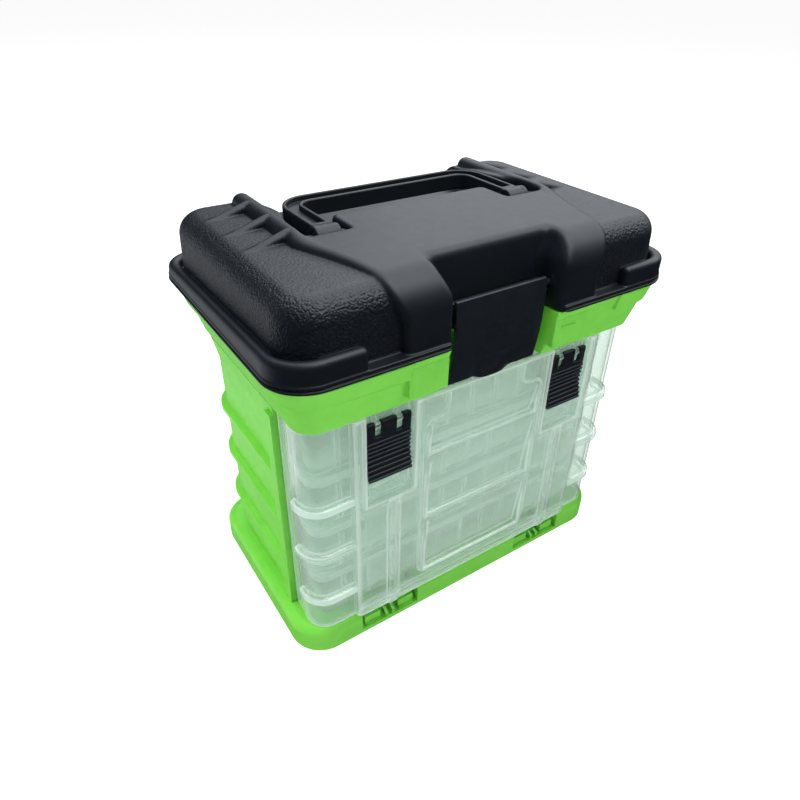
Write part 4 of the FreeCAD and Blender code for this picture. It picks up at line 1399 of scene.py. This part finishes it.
# ---------------------------------------------------------------- studio
@dataclass
class Studio:
    """Floor, light and camera."""

    eye: tuple[float, float, float] = (-220.798, -311.028, 373.144)
    yaw: float = 0.5927
    pitch: float = 0.5989
    roll: float = 0.0187
    focal_share: float = 647.14 / 800.0
    surround: float = 12.0
    target: tuple[float, float, float] = (0.0, 0.0, 0.12)

    def camera(self) -> None:
        """The camera, from its place and three turns."""
        data = bpy.data.cameras.new("camera")
        data.sensor_width = 36.0
        data.lens = self.focal_share * data.sensor_width
        data.clip_start, data.clip_end = 0.01, 90.0
        made = linked("camera", data)
        ahead = Vector((math.sin(self.yaw) * math.cos(self.pitch), math.cos(self.yaw) * math.cos(self.pitch),
                        -math.sin(self.pitch)))
        level = Vector((math.cos(self.yaw), -math.sin(self.yaw), 0.0))
        above = level.cross(ahead)
        right = math.cos(self.roll) * level + math.sin(self.roll) * above
        up = -math.sin(self.roll) * level + math.cos(self.roll) * above
        turn = Matrix((right, up, -ahead)).transposed().to_4x4()
        made.matrix_world = Matrix.Translation(Vector(self.eye) * MM) @ turn
        bpy.context.scene.camera = made

    def white(self, name: str, paint: float, shine: float) -> bpy.types.Material:
        """A matt white that also shines a little by itself."""
        shader = Shader(name)
        matt = shader.node("ShaderNodeBsdfDiffuse", {"Color": (paint, paint, paint, 1.0)})
        lit = shader.node("ShaderNodeEmission", {"Color": (1.0, 1.0, 1.0, 1.0), "Strength": shine})
        both = shader.node("ShaderNodeAddShader", {0: matt.outputs[0], 1: lit.outputs[0]})
        return shader.finish(both.outputs[0])

    def floor(self) -> None:
        """A plain white floor, and a white backdrop all round that only the camera sees."""
        reach = self.surround / MM - 100.0
        corners = [(x * reach, y * reach, -0.05) for x, y in ((-1, -1), (1, -1), (1, 1), (-1, 1))]
        made = make_object("floor", corners, [[0, 1, 2, 3]], False)
        made.data.materials.append(self.white("white_floor", 0.45, 0.95))
        bpy.ops.mesh.primitive_uv_sphere_add(segments=48, ring_count=24, radius=self.surround)
        dome = bpy.context.object
        dome.name = "backdrop"
        dome.data.materials.append(self.white("white_backdrop", 0.0, 1.1))
        dome.visible_diffuse = dome.visible_glossy = dome.visible_transmission = dome.visible_shadow = False
        made.visible_glossy = made.visible_shadow = False

    def light(self, name: str, place: tuple[float, float, float], size: float, power: float,
              sheen: bool = False) -> None:
        """One soft square light aimed at the box's middle, which either lights it or only shines on it."""
        data = bpy.data.lights.new(name, "AREA")
        data.size, data.energy = size, power
        data.color = (0.93, 0.96, 1.0) if sheen else (1.0, 1.0, 1.0)
        made = linked(name, data)
        made.location = place
        made.rotation_euler = (Vector(self.target) - Vector(place)).to_track_quat("-Z", "Y").to_euler()
        made.visible_glossy, made.visible_diffuse, made.visible_transmission = sheen, not sheen, not sheen

    def world(self) -> None:
        """A soft surround: pale overhead, dim at the horizon and dark below."""
        world = bpy.data.worlds.new("studio")
        world.use_nodes = True
        tree = world.node_tree
        place = tree.nodes.new("ShaderNodeTexCoord")
        split = tree.nodes.new("ShaderNodeSeparateXYZ")
        tree.links.new(place.outputs["Generated"], split.inputs[0])
        ramp = tree.nodes.new("ShaderNodeMapRange")
        for key, value in (("From Min", -0.05), ("From Max", 0.9), ("To Min", 0.03), ("To Max", 0.50)):
            ramp.inputs[key].default_value = value
        tree.links.new(split.outputs["Z"], ramp.inputs["Value"])
        tree.links.new(ramp.outputs["Result"], tree.nodes["Background"].inputs["Strength"])
        bpy.context.scene.world = world

    def build(self) -> None:
        """Sets up the studio and how the picture is read."""
        self.camera()
        self.floor()
        self.world()
        self.light("above", (-0.25, 0.1, 1.9), 1.3, 30.0)
        self.light("left", (-1.6, 0.5, 1.5), 0.9, 30.0)
        self.light("front", (0.3, -1.7, 1.3), 1.0, 17.0)
        self.light("sheen_top", (0.85, 0.35, 1.7), 3.4, 88.0, sheen=True)
        self.light("sheen_front", (0.35, -0.9, 1.8), 1.5, 17.0, sheen=True)
        self.light("sheen_left", (-1.2, 1.5, -0.5), 1.8, 8.5, sheen=True)
        scene = bpy.context.scene
        scene.view_settings.view_transform = "Standard"
        scene.cycles.transparent_max_bounces = 48
        scene.cycles.max_bounces = 12


def main() -> None:
    """Builds every sub-assembly in order."""
    logging.basicConfig(level=logging.INFO, format="%(message)s")
    palette = Palette()
    Studio().build()
    for assembly in (CarriedOver, BulkBin, Lid, Grip, BigLatch, FrontDoor, DoorLatches):
        assembly(palette).build()
    for number in range(1, 5):
        Organizer(palette, number).build()


if __name__ == "__main__":
    main()
